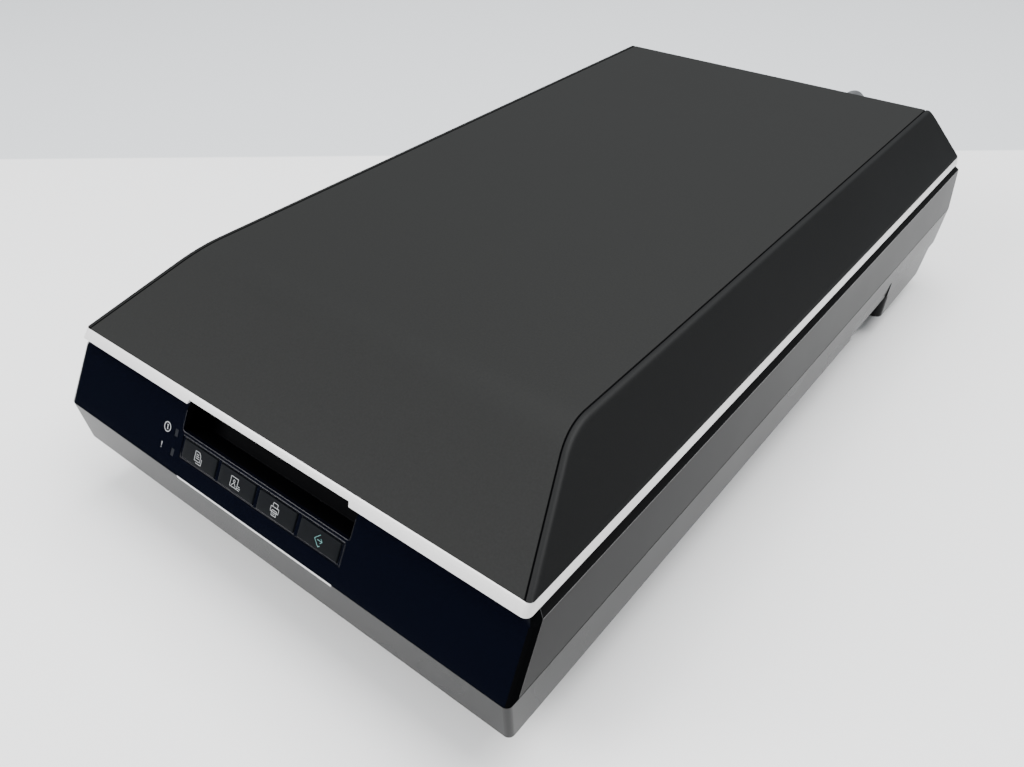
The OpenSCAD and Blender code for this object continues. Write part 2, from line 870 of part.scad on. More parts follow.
module document_mat() {
    color("#f2f2ef")
        box([-mat_half_w, mat_front, mat_z], [mat_half_w, mat_rear, mat_z + mat_t]);
    color("#33363a")
        for (x = [-70, 70])
            box([x - 8, mat_rear - 6, mat_z + mat_t], [x + 8, mat_rear, mat_z + mat_t + 0.2]);
}

// ---------- lamp unit in the lid ----------

lamp_rod_x = [-62, 62];
lamp_rod_z = 96;
lamp_home = 96;
lamp_belt_x = 44;
lamp_belt_z = 93;
lamp_belt_w = 4;
lamp_teeth = 16;
lamp_pulley_r = lamp_teeth * 2 / (2 * PI);
lamp_pulley_y = 150;
lamp_idler_y = -180;

module lamp_rods() {
    color("#c4c7ca")
    for (x = lamp_rod_x) rod_y(x, lamp_rod_z, -178, 140, 2);
    color("#2a2c2e")
    for (x = lamp_rod_x)
        for (y = [-184, 134])
            difference() {
                box([x - 4, y, under_z + 3.6], [x + 4, y + 6, lamp_rod_z + 4]);
                rod_y(x, lamp_rod_z, y - 1, y + 7, 2);
            }
}

module lamp_carriage() {
    color("#e6e6e2")
    difference() {
        union() {
            box([-56, lamp_home, 92], [56, lamp_home + 30, 101.5]);
            for (x = lamp_rod_x) box([x - 6, lamp_home + 5, 92], [x + 6, lamp_home + 25, 100]);
        }
        box([-34, lamp_home + 4, 91], [34, lamp_home + 26, 98]);
        for (x = lamp_rod_x) rod_y(x, lamp_rod_z, lamp_home - 1, lamp_home + 31, 2.05);
        box([lamp_belt_x - 7.4, lamp_home - 1, lamp_belt_z - 1.3], [lamp_belt_x + 7.4,
            lamp_home + 31, lamp_belt_z + 5.3]);
    }
    color("#e6e6e2")
    difference() {
        box([lamp_belt_x - 8.8, lamp_home + 8, 92.2], [lamp_belt_x + 3, lamp_home + 20, 99]);
        box([lamp_belt_x - 6.6, lamp_home, 91], [lamp_belt_x - 4.8, lamp_home + 30,
            lamp_belt_z + 4.3]);
    }
}

module film_lamp() {
    color("#fdfdf4")
        box([-33, lamp_home + 5, 92.4], [33, lamp_home + 25, 94]);
    color("#f2f2f2")
        box([-33, lamp_home + 13, 96], [33, lamp_home + 17, 97.9]);
}

module lamp_belt() {
    color("#15181a")
    translate([0, 0, lamp_belt_z]) linear_extrude(lamp_belt_w)
        belt_loop(lamp_belt_x, lamp_idler_y, lamp_pulley_y, lamp_pulley_r);
}

module lamp_wheel(y, bore) {
    translate([lamp_belt_x, y, 0])
        difference() {
            union() {
                translate([0, 0, lamp_belt_z - 1.4]) cylinder(h = 6.8, r = lamp_pulley_r - 0.3,
                    $fn = fine);
                translate([0, 0, lamp_belt_z - 1.4]) cylinder(h = 1, r = 6.8, $fn = fine);
                translate([0, 0, lamp_belt_z + 4.4]) cylinder(h = 1, r = 6.8, $fn = fine);
            }
            cylinder(h = 120, r = bore, $fn = fine);
        }
}

module lamp_pulley() {
    color("#e8e4d8") lamp_wheel(lamp_pulley_y, 1.05);
}

module lamp_idler() {
    color("#e8e4d8") lamp_wheel(lamp_idler_y, 1.55);
}

module lamp_motor() {
    color("#8f9296") {
        translate([lamp_belt_x, lamp_pulley_y, 99.2]) cylinder(h = 11, r = 14, $fn = fine);
        translate([lamp_belt_x, lamp_pulley_y, under_z + 4]) cylinder(h = 12, r = 1, $fn = fine);
        translate([lamp_belt_x, lamp_idler_y, under_z + 3.6]) cylinder(h = 10, r = 1.5,
            $fn = fine);
    }
    color("#a9acb0")
    for (s = [-1, 1])
        translate([lamp_belt_x + s * 16 - 3, lamp_pulley_y - 4, under_z + 3.6]) cube([6, 8, 12]);
}

// ---------- hinge ----------

pin_r = 2;

module hinge_posts() {
    color("#1d1f21")
    for (sx = [-1, 1])
        difference() {
            union() {
                box([sx * socket_x - post_w / 2, hinge_y - post_t / 2, 47],
                    [sx * socket_x + post_w / 2, hinge_y + post_t / 2, hinge_z]);
                rod_x(sx * socket_x - post_w / 2, sx * socket_x + post_w / 2, hinge_y, hinge_z,
                    post_t / 2);
            }
            rod_x(sx * socket_x - 20, sx * socket_x + 20, hinge_y, hinge_z, pin_r);
        }
}

module hinge_pins() {
    color("#c4c7ca")
    for (sx = [-1, 1])
        rod_x(sx * socket_x - 12.5, sx * socket_x + 12.5, hinge_y, hinge_z, pin_r);
}

module hinge_brackets() {
    color("#2a2c2e")
    for (sx = [-1, 1])
        for (e = [-1, 1])
            difference() {
                union() {
                    box([sx * socket_x + e * 11.6 - 2.4, 206, under_z + 3.6],
                        [sx * socket_x + e * 11.6 + 2.4, hinge_y - 4, hinge_z + 4]);
                    rod_x(sx * socket_x + e * 11.6 - 2.4, sx * socket_x + e * 11.6 + 2.4,
                        hinge_y, hinge_z, 4);
                    box([sx * socket_x + e * 11.6 - 2.4, hinge_y - 5, hinge_z - 4],
                        [sx * socket_x + e * 11.6 + 2.4, hinge_y, hinge_z + 4]);
                }
                rod_x(sx * socket_x - 20, sx * socket_x + 20, hinge_y, hinge_z, pin_r + 0.05);
            }
}

// ---------- lamp cable ----------

boot_y = 235.3;
boot_l = 13.7;

module cable_boot() {
    color("#8f9092")
    translate([cable_x, boot_y, cable_z]) rotate([-90, 0, 0]) {
        translate([0, 0, -8.6]) cylinder(h = 2.2, r = 6, $fn = fine);
        translate([0, 0, -8.6]) cylinder(h = 9, r = 4.2, $fn = fine);
        cylinder(h = boot_l, r1 = 5, r2 = cable_d / 2 + 0.4, $fn = fine);
    }
}

// points of the cable: from the boot on the lid down to the bottom of its loop, and up to the plug
upper_route = [[52, 249, 106.5], [52, 259, 106], [52, 271, 102.5], [52, 282, 95.5],
    [52, 291, 85], [52, 295.5, 72], [52, 296, 56], [51, 296, 38], [45, 296, 23],
    [35, 296, 12], [21, 296, 8]];
lower_route = [[21, 296, 8], [7, 296, 12], [-4, 296, 23], [-9.5, 296, 37], [-10, 290.5, 51],
    [-10, 281, 59], [-10, 269, 62]];

function unit(v) = v / norm(v);

// the direction of a route at its point i
function heading(p, i) = unit(p[min(i + 1, len(p) - 1)] - p[max(i - 1, 0)]);

// a side direction square to the heading; no heading comes near the diagonal in it
function side_of(t) = unit(cross(t, [1, 1, 0]));

module cable_tube(route, first, last) {
    n = len(route);
    sides = 8;
    ts = [for (i = [0 : n - 1]) i == 0 ? first : i == n - 1 ? last : heading(route, i)];
    ring = [for (i = [0 : n - 1]) let (a = side_of(ts[i]), b = cross(ts[i], a))
        for (k = [0 : sides - 1]) route[i]
            + cable_d / 2 * (cos(360 * k / sides) * a + sin(360 * k / sides) * b)];
    faces = concat([[for (k = [sides - 1 : -1 : 0]) k]],
        [for (i = [0 : n - 2], k = [0 : sides - 1], half = [0, 1])
            let (a = i * sides + k, b = i * sides + (k + 1) % sides, c = b + sides, d = a + sides)
            half == 0 ? [a, b, c] : [a, c, d]],
        [[for (k = [0 : sides - 1]) (n - 1) * sides + k]]);
    polyhedron(points = ring, faces = faces, convexity = 6);
}

module cable_upper() {
    color("#8f9092") cable_tube(upper_route, [0, 1, 0], [-1, 0, 0]);
}

module cable_lower() {
    color("#8f9092") cable_tube(lower_route, [-1, 0, 0], [0, -1, 0]);
}

module cable_plug() {
    color("#85868a") {
        box([option_x - 11.5, half_d - 11, port_z - 3.6], [option_x + 11.5, half_d + 1,
            port_z + 3.6]);
        box([option_x - 15, half_d + 0.6, port_z - 7], [option_x + 15, half_d + 16, port_z + 7]);
        translate([option_x, half_d + 16, port_z]) rotate([-90, 0, 0])
            cylinder(h = 269 - half_d - 16, r1 = 5, r2 = cable_d / 2 + 0.4, $fn = fine);
    }
}

module file_button() {
    button_cap(0);
}

module photo_button() {
    button_cap(1);
}

module copy_button() {
    button_cap(2);
}

module start_button() {
    button_cap(3);
}

module status_lights() {
    for (v = light_v) light_window(v);
}

lower_housing();
rubber_feet();
housing_screws();
upper_housing();
front_panel();
recess_liner();
button_bezel();
file_button();
photo_button();
copy_button();
start_button();
status_lights();
trim_strip();
control_board();
power_button();
power_switch();
document_glass();
calibration_strip();
guide_rod();
rod_holders();
scan_carriage();
carriage_bushings();
scan_lamp();
carriage_mirrors();
carriage_lens();
sensor_board();
carriage_ribbon();
drive_belt();
drive_gear();
drive_axles();
idler_pulley();
motor_pinion();
scan_motor();
motor_bracket();
main_board();
usb_port();
power_inlet();
option_port();
transport_lock();
hinge_posts();
hinge_pins();
hinge_brackets();
lid_under_cover();
lid_band();
lid_top_cover();
lid_side_cover_left();
lid_side_cover_right();
film_window();
lamp_rods();
lamp_carriage();
film_lamp();
lamp_belt();
lamp_motor();
lamp_pulley();
lamp_idler();
document_mat();
cable_boot();
cable_upper();
cable_lower();
cable_plug();
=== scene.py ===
# %% [markdown]
# # A flatbed scanner for film negatives
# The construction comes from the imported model: every carrier, joint and inner part is already there at
# its real size. This script gives the scanner its looks. The lid's covers, its light band, the buttons,
# their signs and the cable are made here as smooth surfaces, the housings get soft edges, and every other
# part gets a finish. Shapes are worked out in millimetres, and turned into metres when a mesh is made.

# %% Load the frame
import json
import math
import bmesh
import bpy
import numpy as np
from mathutils import Matrix


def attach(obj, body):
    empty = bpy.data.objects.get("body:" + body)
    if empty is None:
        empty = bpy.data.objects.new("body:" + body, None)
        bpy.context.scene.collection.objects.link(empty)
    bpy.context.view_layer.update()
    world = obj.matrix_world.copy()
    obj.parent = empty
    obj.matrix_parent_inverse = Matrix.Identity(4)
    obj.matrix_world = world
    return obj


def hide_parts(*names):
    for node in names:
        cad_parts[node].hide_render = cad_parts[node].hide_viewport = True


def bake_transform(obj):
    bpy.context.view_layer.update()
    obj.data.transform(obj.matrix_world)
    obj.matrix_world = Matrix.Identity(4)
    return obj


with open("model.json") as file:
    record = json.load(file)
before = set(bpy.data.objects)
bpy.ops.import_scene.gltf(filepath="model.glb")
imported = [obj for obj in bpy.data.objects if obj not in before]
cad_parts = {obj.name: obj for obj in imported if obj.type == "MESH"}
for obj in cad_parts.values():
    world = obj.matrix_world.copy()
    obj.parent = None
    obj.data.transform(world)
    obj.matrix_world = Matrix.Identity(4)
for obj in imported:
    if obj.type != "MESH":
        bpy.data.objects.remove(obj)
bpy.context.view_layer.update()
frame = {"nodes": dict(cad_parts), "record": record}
nodes = frame["nodes"]
MM = 0.001

# %% [markdown]
# A camera is a place, a direction and a lens. These come from fitting the photograph's corners, so the
# render can be laid over the picture. The three axes are written as the camera sees them: right, up and
# back, because a Blender camera looks along its own minus Z.

# %% Camera
cam_right = np.array([0.78449, 0.62010, -0.00707])
cam_down = np.array([0.37495, -0.48338, -0.79105])
cam_forward = np.array([-0.49395, 0.61792, -0.61171])
cam_place = (0.2506, -0.3770, 0.3315)

camera_data = bpy.data.cameras.new("camera")
camera_data.sensor_width = 36.0
camera_data.lens = 31.249
camera_data.clip_start = 0.01
camera = bpy.data.objects.new("camera", camera_data)
bpy.context.scene.collection.objects.link(camera)
turn = np.eye(4)
turn[:3, 0] = cam_right
turn[:3, 1] = -cam_down
turn[:3, 2] = -cam_forward
turn[:3, 3] = cam_place
camera.matrix_world = Matrix(turn.tolist())
bpy.context.scene.camera = camera
print("camera at", cam_place, "with a lens of", camera_data.lens, "mm")

# %% [markdown]
# ## Small tools
# Every new surface here is a grid: a whole numpy array of points with two directions. Blender could also
# make such surfaces with curves and modifiers, but an array can be worked out from a formula and checked
# with numbers. These functions turn an array of points and its faces into a mesh.

# %% From a grid of points to a mesh
def mesh_piece(name, points, faces):
    """Links a mesh made of an (n, 3) array in millimetres and a list or array of faces."""
    mesh = bpy.data.meshes.new(name)
    mesh.from_pydata((np.asarray(points, float) * MM).tolist(), [], [list(f) for f in faces])
    mesh.validate()
    mesh.update()
    piece = bpy.data.objects.new(name, mesh)
    bpy.context.scene.collection.objects.link(piece)
    return piece


def quads(rows, columns, start=0, wrap_columns=False):
    """Faces of a grid of rows by columns: corner (i, j), then (i, j+1), (i+1, j+1) and (i+1, j)."""
    i = np.arange(rows - 1)
    j = np.arange(columns if wrap_columns else columns - 1)
    i, j = (a.ravel() for a in np.meshgrid(i, j, indexing="ij"))
    j2 = (j + 1) % columns
    return start + np.stack([i * columns + j, i * columns + j2, (i + 1) * columns + j2,
                             (i + 1) * columns + j], 1)


def capped(rows, columns):
    """Faces of a tube made of rings: its sides and the two closing faces at its ends."""
    faces = quads(rows, columns, wrap_columns=True).tolist()
    return faces + [list(range(columns)), list(range((rows - 1) * columns, rows * columns))]


print("a grid of 3 by 4 points has", len(quads(3, 4)), "faces")

# %% [markdown]
# A moulded cover is a thin wall, not a sheet. Blender's Solidify could thicken a sheet, and here the same is
# done on the grid itself: a second grid lies one wall deeper along the normals, and a rim joins the two, so
# each cover is a closed solid whose wall is known.

# %% Covers with a wall
def grid_normals(grid):
    """Unit normals of a grid: the cross product of its two directions."""
    along = np.gradient(grid, axis=0)
    across = np.gradient(grid, axis=1)
    normal = np.cross(across, along)
    return normal / np.maximum(np.linalg.norm(normal, axis=2, keepdims=True), 1e-12)


def rim_of(rows, columns):
    """The border of a grid as a closed walk of point numbers."""
    top = np.arange(columns)
    right = np.arange(1, rows) * columns + columns - 1
    bottom = (rows - 1) * columns + np.arange(columns - 2, -1, -1)
    left = np.arange(rows - 2, 0, -1) * columns
    return np.concatenate([top, right, bottom, left])


def shell(name, grid, wall):
    """A closed cover: the grid, the same grid moved inwards along its normals, and the rim between."""
    rows, columns = grid.shape[:2]
    inner = grid - wall * grid_normals(grid)
    count = rows * columns
    rim = rim_of(rows, columns)
    following = np.roll(rim, -1)
    sides = np.stack([rim, rim + count, following + count, following], 1)
    outside = quads(rows, columns)
    inside = quads(rows, columns, count)[:, ::-1]
    points = np.concatenate([grid.reshape(-1, 3), inner.reshape(-1, 3)])
    return mesh_piece(name, points, np.concatenate([outside, inside, sides]))


def outwards(piece):
    """Turns all faces of a closed mesh outwards."""
    work = bmesh.new()
    work.from_mesh(piece.data)
    bmesh.ops.remove_doubles(work, verts=work.verts, dist=1e-7)
    bmesh.ops.recalc_face_normals(work, faces=work.faces)
    work.to_mesh(piece.data)
    work.free()


def soften(piece, width, segments=2, angle=30):
    """A small round on every edge sharper than the angle, and smooth shading everywhere else."""
    outwards(piece)
    bevel = piece.modifiers.new("edge", "BEVEL")
    bevel.width = width * MM
    bevel.segments = segments
    bevel.limit_method = "ANGLE"
    bevel.angle_limit = math.radians(angle)
    bevel.harden_normals = False
    piece.data.shade_smooth()
    return piece


print("covers are closed shells")

# %% [markdown]
# Some parts have the right shape in the construction already and lack only their soft edges. A copy of such
# a part gets a bevel that is steered by a weight on each edge, so that outer edges can be rounder than
# the edges of small openings. The copy then stands for the part and moves with the same body.

# %% Copies with soft edges
body_of = {node: body for body, held in frame["record"]["behaviour"]["bodies"].items() for node in held}
slot_of = {row["node"]: row["material_slot"] for row in frame["record"]["subparts"]}


def rounded_copy(node, width, fine=None, fine_width=0.2, angle=32, segments=3):
    """A copy of a part with a small round on each edge sharper than the angle.

    The copy's doubles are merged and its flat faces joined. An edge's round is the full width, or
    the fine width where fine(middle of the edge in mm) says that small features sit.
    """
    mesh = nodes[node].data.copy()
    work = bmesh.new()
    work.from_mesh(mesh)
    bmesh.ops.remove_doubles(work, verts=work.verts, dist=2e-6)
    bmesh.ops.dissolve_limit(work, angle_limit=math.radians(1), verts=work.verts, edges=work.edges)
    sharp = [len(e.link_faces) == 2 and e.calc_face_angle(0) > math.radians(angle) for e in work.edges]
    middle = np.array([(e.verts[0].co + e.verts[1].co) / 2 for e in work.edges]) / MM
    work.to_mesh(mesh)
    work.free()
    small = fine(middle) if fine else np.zeros(len(middle), bool)
    weight = np.where(small, fine_width / width, 1.0) * np.array(sharp)
    mesh.attributes.new("bevel_weight_edge", "FLOAT", "EDGE").data.foreach_set("value", weight)
    piece = bpy.data.objects.new("soft_" + node, mesh)
    bpy.context.scene.collection.objects.link(piece)
    bevel = piece.modifiers.new("edge", "BEVEL")
    bevel.limit_method = "WEIGHT"
    bevel.width = width * MM
    bevel.segments = segments
    mesh.shade_smooth()
    mesh.set_sharp_from_angle(angle=math.radians(angle))
    normals = piece.modifiers.new("flat faces stay flat", "WEIGHTED_NORMAL")
    normals.keep_sharp = False
    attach(piece, body_of[node])
    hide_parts(node)
    return piece


print("soft copies can be made of", len(body_of), "parts")

# %% [markdown]
# ## The lamp cable
# The lamp in the lid gets its power through a grey cable that leaves the lid's rear edge, hangs down in
# a loop and plugs into the base. The photograph shows only the bump where it leaves. A cable is a circle
# carried along a smooth path, and the path is a curve through a few given points.

# %% Cable routes, the same points as the model's own tubes
cable_d = 7.0
upper_route = np.array([[52, 249, 106.5], [52, 259, 106], [52, 271, 102.5], [52, 282, 95.5],
                        [52, 291, 85], [52, 295.5, 72], [52, 296, 56], [51, 296, 38], [45, 296, 23],
                        [35, 296, 12], [21, 296, 8]], float)
lower_route = np.array([[21, 296, 8], [7, 296, 12], [-4, 296, 23], [-9.5, 296, 37],
                        [-10, 290.5, 51], [-10, 281, 59], [-10, 269, 62]], float)


def smooth_path(points, first, last, steps=6):
    """A cubic through the points: each stretch leaves along the line between its neighbours."""
    ahead = np.concatenate([[points[0] + first], points, [points[-1] + last]])
    slope = (ahead[2:] - ahead[:-2]) / 2
    slope[0] = np.asarray(first) * np.linalg.norm(points[1] - points[0])
    slope[-1] = np.asarray(last) * np.linalg.norm(points[-1] - points[-2])
    t = np.linspace(0, 1, steps, endpoint=False)[None, :, None]
    p0, p1 = points[:-1, None], points[1:, None]
    m0, m1 = slope[:-1, None], slope[1:, None]
    curve = ((2 * t**3 - 3 * t**2 + 1) * p0 + (t**3 - 2 * t**2 + t) * m0
             + (3 * t**2 - 2 * t**3) * p1 + (t**3 - t**2) * m1)
    return np.concatenate([curve.reshape(-1, 3), points[-1:]])


def tube(name, path, radius, first, last, sides=20):
    """A circle carried along a path, square to it; the path keeps clear of the diagonal (1, 1, 0)."""
    heading = np.gradient(path, axis=0)
    heading[0], heading[-1] = first, last
    heading /= np.linalg.norm(heading, axis=1, keepdims=True)
    side = np.cross(heading, [1.0, 1.0, 0.0])
    side /= np.linalg.norm(side, axis=1, keepdims=True)
    up = np.cross(heading, side)
    a = np.linspace(0, 2 * np.pi, sides, endpoint=False)[None, :, None]
    rings = path[:, None] + radius * (np.cos(a) * side[:, None] + np.sin(a) * up[:, None])
    piece = mesh_piece(name, rings.reshape(-1, 3), capped(len(path), sides))
    outwards(piece)
    piece.data.shade_smooth()
    piece.data.set_sharp_from_angle(angle=math.radians(60))
    return piece


def path_length(path):
    """The sum of the distances between neighbouring points, in metres."""
    return float(np.linalg.norm(np.diff(path, axis=0), axis=1).sum() * MM)


upper_path = smooth_path(upper_route, [0, 1, 0], [-1, 0, 0])
lower_path = smooth_path(lower_route, [-1, 0, 0], [0, -1, 0])
lamp_cable_upper = tube("lamp_cable_upper", upper_path, cable_d / 2, [0, 1, 0], [-1, 0, 0])
lamp_cable_lower = tube("lamp_cable_lower", lower_path, cable_d / 2, [-1, 0, 0], [0, -1, 0])
print("cable lengths", round(path_length(upper_path), 4), round(path_length(lower_path), 4), "m")

# %% [markdown]
# The upper stretch runs down to the bottom of the loop, the lower stretch from there up to the plug. On the
# real scanner the upper stretch bends when the lid opens, close behind its exit, which keeps the cable off
# the base's rear edge, and the hinge posts rise for thick originals. Here the model's own cable tubes are
# hidden, the boot and the plug get soft copies, and both stretches stay where they are made.

# %% The cable in its place
cable_boot, cable_plug = rounded_copy("cable_boot", 0.6), rounded_copy("cable_plug", 0.8)
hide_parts("cable_upper")
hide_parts("cable_lower")
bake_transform(lamp_cable_upper)
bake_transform(lamp_cable_lower)

# %% [markdown]
# ## The lid's form
# The lid is a flat top that kinks down to the front, two leaning sides and a steep rear wall. Seen from
# above, each of these is a height over the plan. The lowest of the four heights at a place is the lid
# there, and a rounded minimum makes the soft ridges between them.

# %% Sizes of the lid
total_h, band_z, band_top_z = 118.0, 85.3, 90.1
top_half_w, kink_y, kink_r = 113.0, 168.7, 50.0
band_front, band_rear, band_half_w, rear_top = 224.7, 237.9, 136.3, 231.2
drop = total_h - band_top_z
slope_a = math.atan(drop / (band_front - kink_y))
lean = (band_half_w - top_half_w) / drop
arc_y = -kink_y + kink_r * math.tan(slope_a / 2)
groove_in, groove_w, cover_wall = 3.3, 0.9, 1.8


def rounded_min(a, b, k):
    """The lower of two heights, rounded where they differ by less than k."""
    h = np.clip(k - np.abs(a - b), 0, None) / k
    return np.minimum(a, b) - h * h * k / 4


def length_height(y):
    """Height of the lid along its length: flat, then an arc at the kink, then the front slope."""
    arc = total_h - kink_r + np.sqrt(np.clip(kink_r**2 - (y - arc_y)**2, 0, None))
    slope = total_h - (-kink_y - y) * math.tan(slope_a)
    end = arc_y - kink_r * math.sin(slope_a)
    return np.where(y > arc_y, total_h, np.where(y > end, arc, slope))


def lid_height(x, y):
    """Height of the lid over a place in its plan."""
    side = total_h - (np.abs(x) - top_half_w) / lean
    rear = total_h - (y - rear_top) * drop / (band_rear - rear_top)
    top = rounded_min(length_height(y), rear, 7.0)
    return rounded_min(top, side, 1.3)


def packed(*stops):
    """Numbers from stop to stop: each entry gives a place and how many steps lead to the next."""
    parts = [np.linspace(a[0], b[0], a[1], endpoint=False) for a, b in zip(stops, stops[1:])]
    return np.concatenate(parts + [[stops[-1][0]]])


stations = packed((-band_front, 8), (-band_front + 2.4, 12), (arc_y - 26, 26), (arc_y + 4, 30),
                  (rear_top - 5, 22), (band_rear, 1))
ridge_x = top_half_w + (total_h - length_height(stations)) * lean
print("lid: front slope", round(math.degrees(slope_a), 1), "degrees,", len(stations), "stations")

# %% [markdown]
# The top cover and the two side covers are separate mouldings with a narrow groove between them. The top
# cover takes the middle of the plan, out to the groove, and each side cover takes the rest, out to the
# light band. Its plan is rounded at the rear corner. The rear wall of the top cover has a notch over each
# hinge, cut with a box, so that the lid clears the hinge posts when it opens.

# %% Top cover and side covers
across = np.sin(np.linspace(-1, 1, 41) * math.pi / 2)


def lid_top_grid():
    """Across: from groove to groove. Along: from the front edge to the foot of the rear wall."""
    half = ridge_x - groove_in
    x = half[:, None] * across[None, :]
    y = np.broadcast_to(stations[:, None], x.shape)
    z = np.maximum(lid_height(x, y), band_top_z + 0.02)
    return np.stack([x, y, z], 2)


def plan_border(y, radius=2.2):
    """Half width of the lid's plan at y, drawn in on an arc at the rear and front corners."""
    past = np.clip(y - (band_rear - radius), 0, radius)
    before = np.clip(-(band_front - radius) - y, 0, radius)
    inset = 2 * radius - np.sqrt(radius**2 - past**2) - np.sqrt(radius**2 - before**2)
    return band_half_w - inset


def lid_side_grid(sign):
    """Across: from the groove over the ridge down to the band. Along: the same stations as the top."""
    share = packed((0.0, 3), (0.07, 14), (0.34, 12), (1.0, 1))[None, :]
    inner = (ridge_x - groove_in + groove_w)[:, None]
    border = np.maximum(plan_border(stations), ridge_x - groove_in + groove_w + 0.4)[:, None]
    x = inner + (border - inner) * share
    y = np.broadcast_to(stations[:, None], x.shape)
    z = np.maximum(lid_height(x, y), band_top_z + 0.02)
    grid = np.stack([sign * x, y, z], 2)
    return grid if sign > 0 else grid[:, ::-1]


def groove_floor(sign):
    """The top cover's flange under the groove: a narrow strip a little lower than the two covers."""
    x = (ridge_x - groove_in)[:, None] + np.array([-0.5, groove_w + 0.5])[None, :]
    y = np.broadcast_to(stations[:, None], x.shape)
    z = np.maximum(lid_height(x, y) - 0.6, band_top_z + 0.1)
    grid = np.stack([sign * x, y, z], 2)
    return grid if sign > 0 else grid[:, ::-1]


def notched(piece, low, high):
    """Cuts a box, given by its lowest and highest corner in millimetres, out of a closed cover."""
    corners = np.stack(np.meshgrid(*np.stack([low, high], 1), indexing="ij"), -1).reshape(-1, 3)
    faces = [(0, 1, 3, 2), (4, 6, 7, 5), (0, 4, 5, 1), (2, 3, 7, 6), (0, 2, 6, 4), (1, 5, 7, 3)]
    cutter = mesh_piece("notch_cutter", corners, faces)
    outwards(cutter)
    outwards(piece)
    cut = piece.modifiers.new("notch", "BOOLEAN")
    cut.object = cutter
    seen = piece.evaluated_get(bpy.context.evaluated_depsgraph_get())
    mesh = bpy.data.meshes.new_from_object(seen)
    piece.modifiers.clear()
    piece.data = mesh
    bpy.data.objects.remove(cutter)


hinge_x, clear_half_w = 80.0, 14.6
clear_low, clear_high = (222.0, 80.0), (250.0, 107.5)
lid_top = shell("lid_top_shell", lid_top_grid(), cover_wall)
for x in (-hinge_x, hinge_x):
    notched(lid_top, (x - clear_half_w, *clear_low), (x + clear_half_w, *clear_high))
soften(lid_top, 0.45, angle=50)
flanges = [shell("lid_flange_right", groove_floor(1), 0.5), shell("lid_flange_left", groove_floor(-1), 0.5)]
lid_right = soften(shell("lid_side_right", lid_side_grid(1), cover_wall), 0.4, angle=50)
lid_left = soften(shell("lid_side_left", lid_side_grid(-1), cover_wall), 0.4, angle=50)
for piece, node in ((lid_top, "lid_top_cover"), (lid_right, "lid_side_cover_right"),
                    (lid_left, "lid_side_cover_left")):
    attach(piece, "lid")
    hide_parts(node)
for piece in flanges:
    outwards(piece)
    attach(piece, "lid")
print("lid covers:", [len(p.data.polygons) for p in (lid_top, lid_right, lid_left)], "faces")

# %% [markdown]
# ## The light band
# A silver-grey band runs round the lid's lower edge and is cut open at the hinges. Its cross-section is a
# short rounded outline, carried along the lid's plan. Each point of the outline has its own ring, a
# rounded rectangle, so the band can lean outwards and still meet itself cleanly at the corners.

# %% Rings and the band
notch_mid, notch_half, notch_rise, notch_turn = -0.8, 51.0, 1.9, 0.6


def open_ring(half_w, front, rear, radius, gap, corner=9, side=24):
    """A rounded rectangle that starts and ends at the rear, gap to each side of the middle."""
    a = np.linspace(0, np.pi / 2, corner)
    c, s = np.cos(a), np.sin(a)
    right_rear = [half_w - radius + radius * s, rear - radius + radius * c]
    right_front = [half_w - radius + radius * c, front + radius - radius * s]
    first = np.linspace(gap, half_w - radius, 10, endpoint=False)
    run = np.linspace(rear - radius, front + radius, side + 2)[1:-1]
    low, high = notch_mid - notch_half, notch_mid + notch_half
    sweep = packed((half_w - radius, 16), (high + notch_turn, 6), (high - notch_turn, 24),
                   (low + notch_turn, 6), (low - notch_turn, 16), (-half_w + radius, 1))[1:-1]
    half = np.concatenate([np.stack([first, np.full(10, rear)], 1), np.stack(right_rear, 1),
                           np.stack([np.full(side, half_w), run], 1), np.stack(right_front, 1)])
    middle = np.stack([sweep, np.full(len(sweep), front)], 1)
    mirrored = half[::-1] * [-1, 1]
    return np.concatenate([half, middle, mirrored])


hinge_gap = hinge_x + clear_half_w
band_corner = 2.6
# outline of the band: how far out, height, how far the front is pushed forward
band_outline = [(-7.0, 85.5, 0), (-1.2, 85.3, 3.3), (0.6, 85.3, 3.4), (1.0, 85.7, 3.4),
                (0.45, 89.4, 0.55), (0.0, 90.0, 0.1), (-0.5, 90.15, 0.0), (-7.0, 90.1, 0)]


# how far the band's front face leans back for each millimetre of height, and how deep its front part is
face_lean, band_front_depth = 0.8, 12.0


def band_grid():
    """One open ring per point of the outline; its lowest points rise over the finger recess."""
    rings = []
    for out, z, push in band_outline:
        ring = open_ring(band_half_w + out, -band_front - out - max(push - 1, 0), band_rear + out / 2,
                         band_corner + out / 2 if out > -6 else 1.2, hinge_gap)
        rings.append(np.column_stack([ring, np.full(len(ring), z)]))
    grid = np.stack(rings, 1)
    inside = np.clip((notch_half - np.abs(grid[..., 0] - notch_mid)) / (2 * notch_turn) + 0.5, 0, 1)
    lift = band_z + notch_rise * inside * inside * (3 - 2 * inside)
    at_front = grid[..., 1] < -band_front + band_front_depth
    rise = np.where(at_front, np.maximum(lift - grid[..., 2], 0), 0)
    grid[..., 1] += face_lean * rise
    grid[..., 2] += rise
    return grid


def closed_sweep(name, grid):
    """A closed outline carried along an open path, with both ends capped."""
    return mesh_piece(name, grid.reshape(-1, 3), capped(*grid.shape[:2]))


band = soften(closed_sweep("lid_light_band", band_grid()), 0.25, angle=40)
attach(band, "lid")
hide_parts("lid_band")
print("band:", len(band.data.polygons), "faces, notch", notch_rise, "mm high")

# %% [markdown]
# ## Places on the sloping front
# The control panel leans back. A function takes a place on it, as millimetres along, down and into the
# panel, and gives the place in the scanner's own frame. Everything on the panel is made through it.

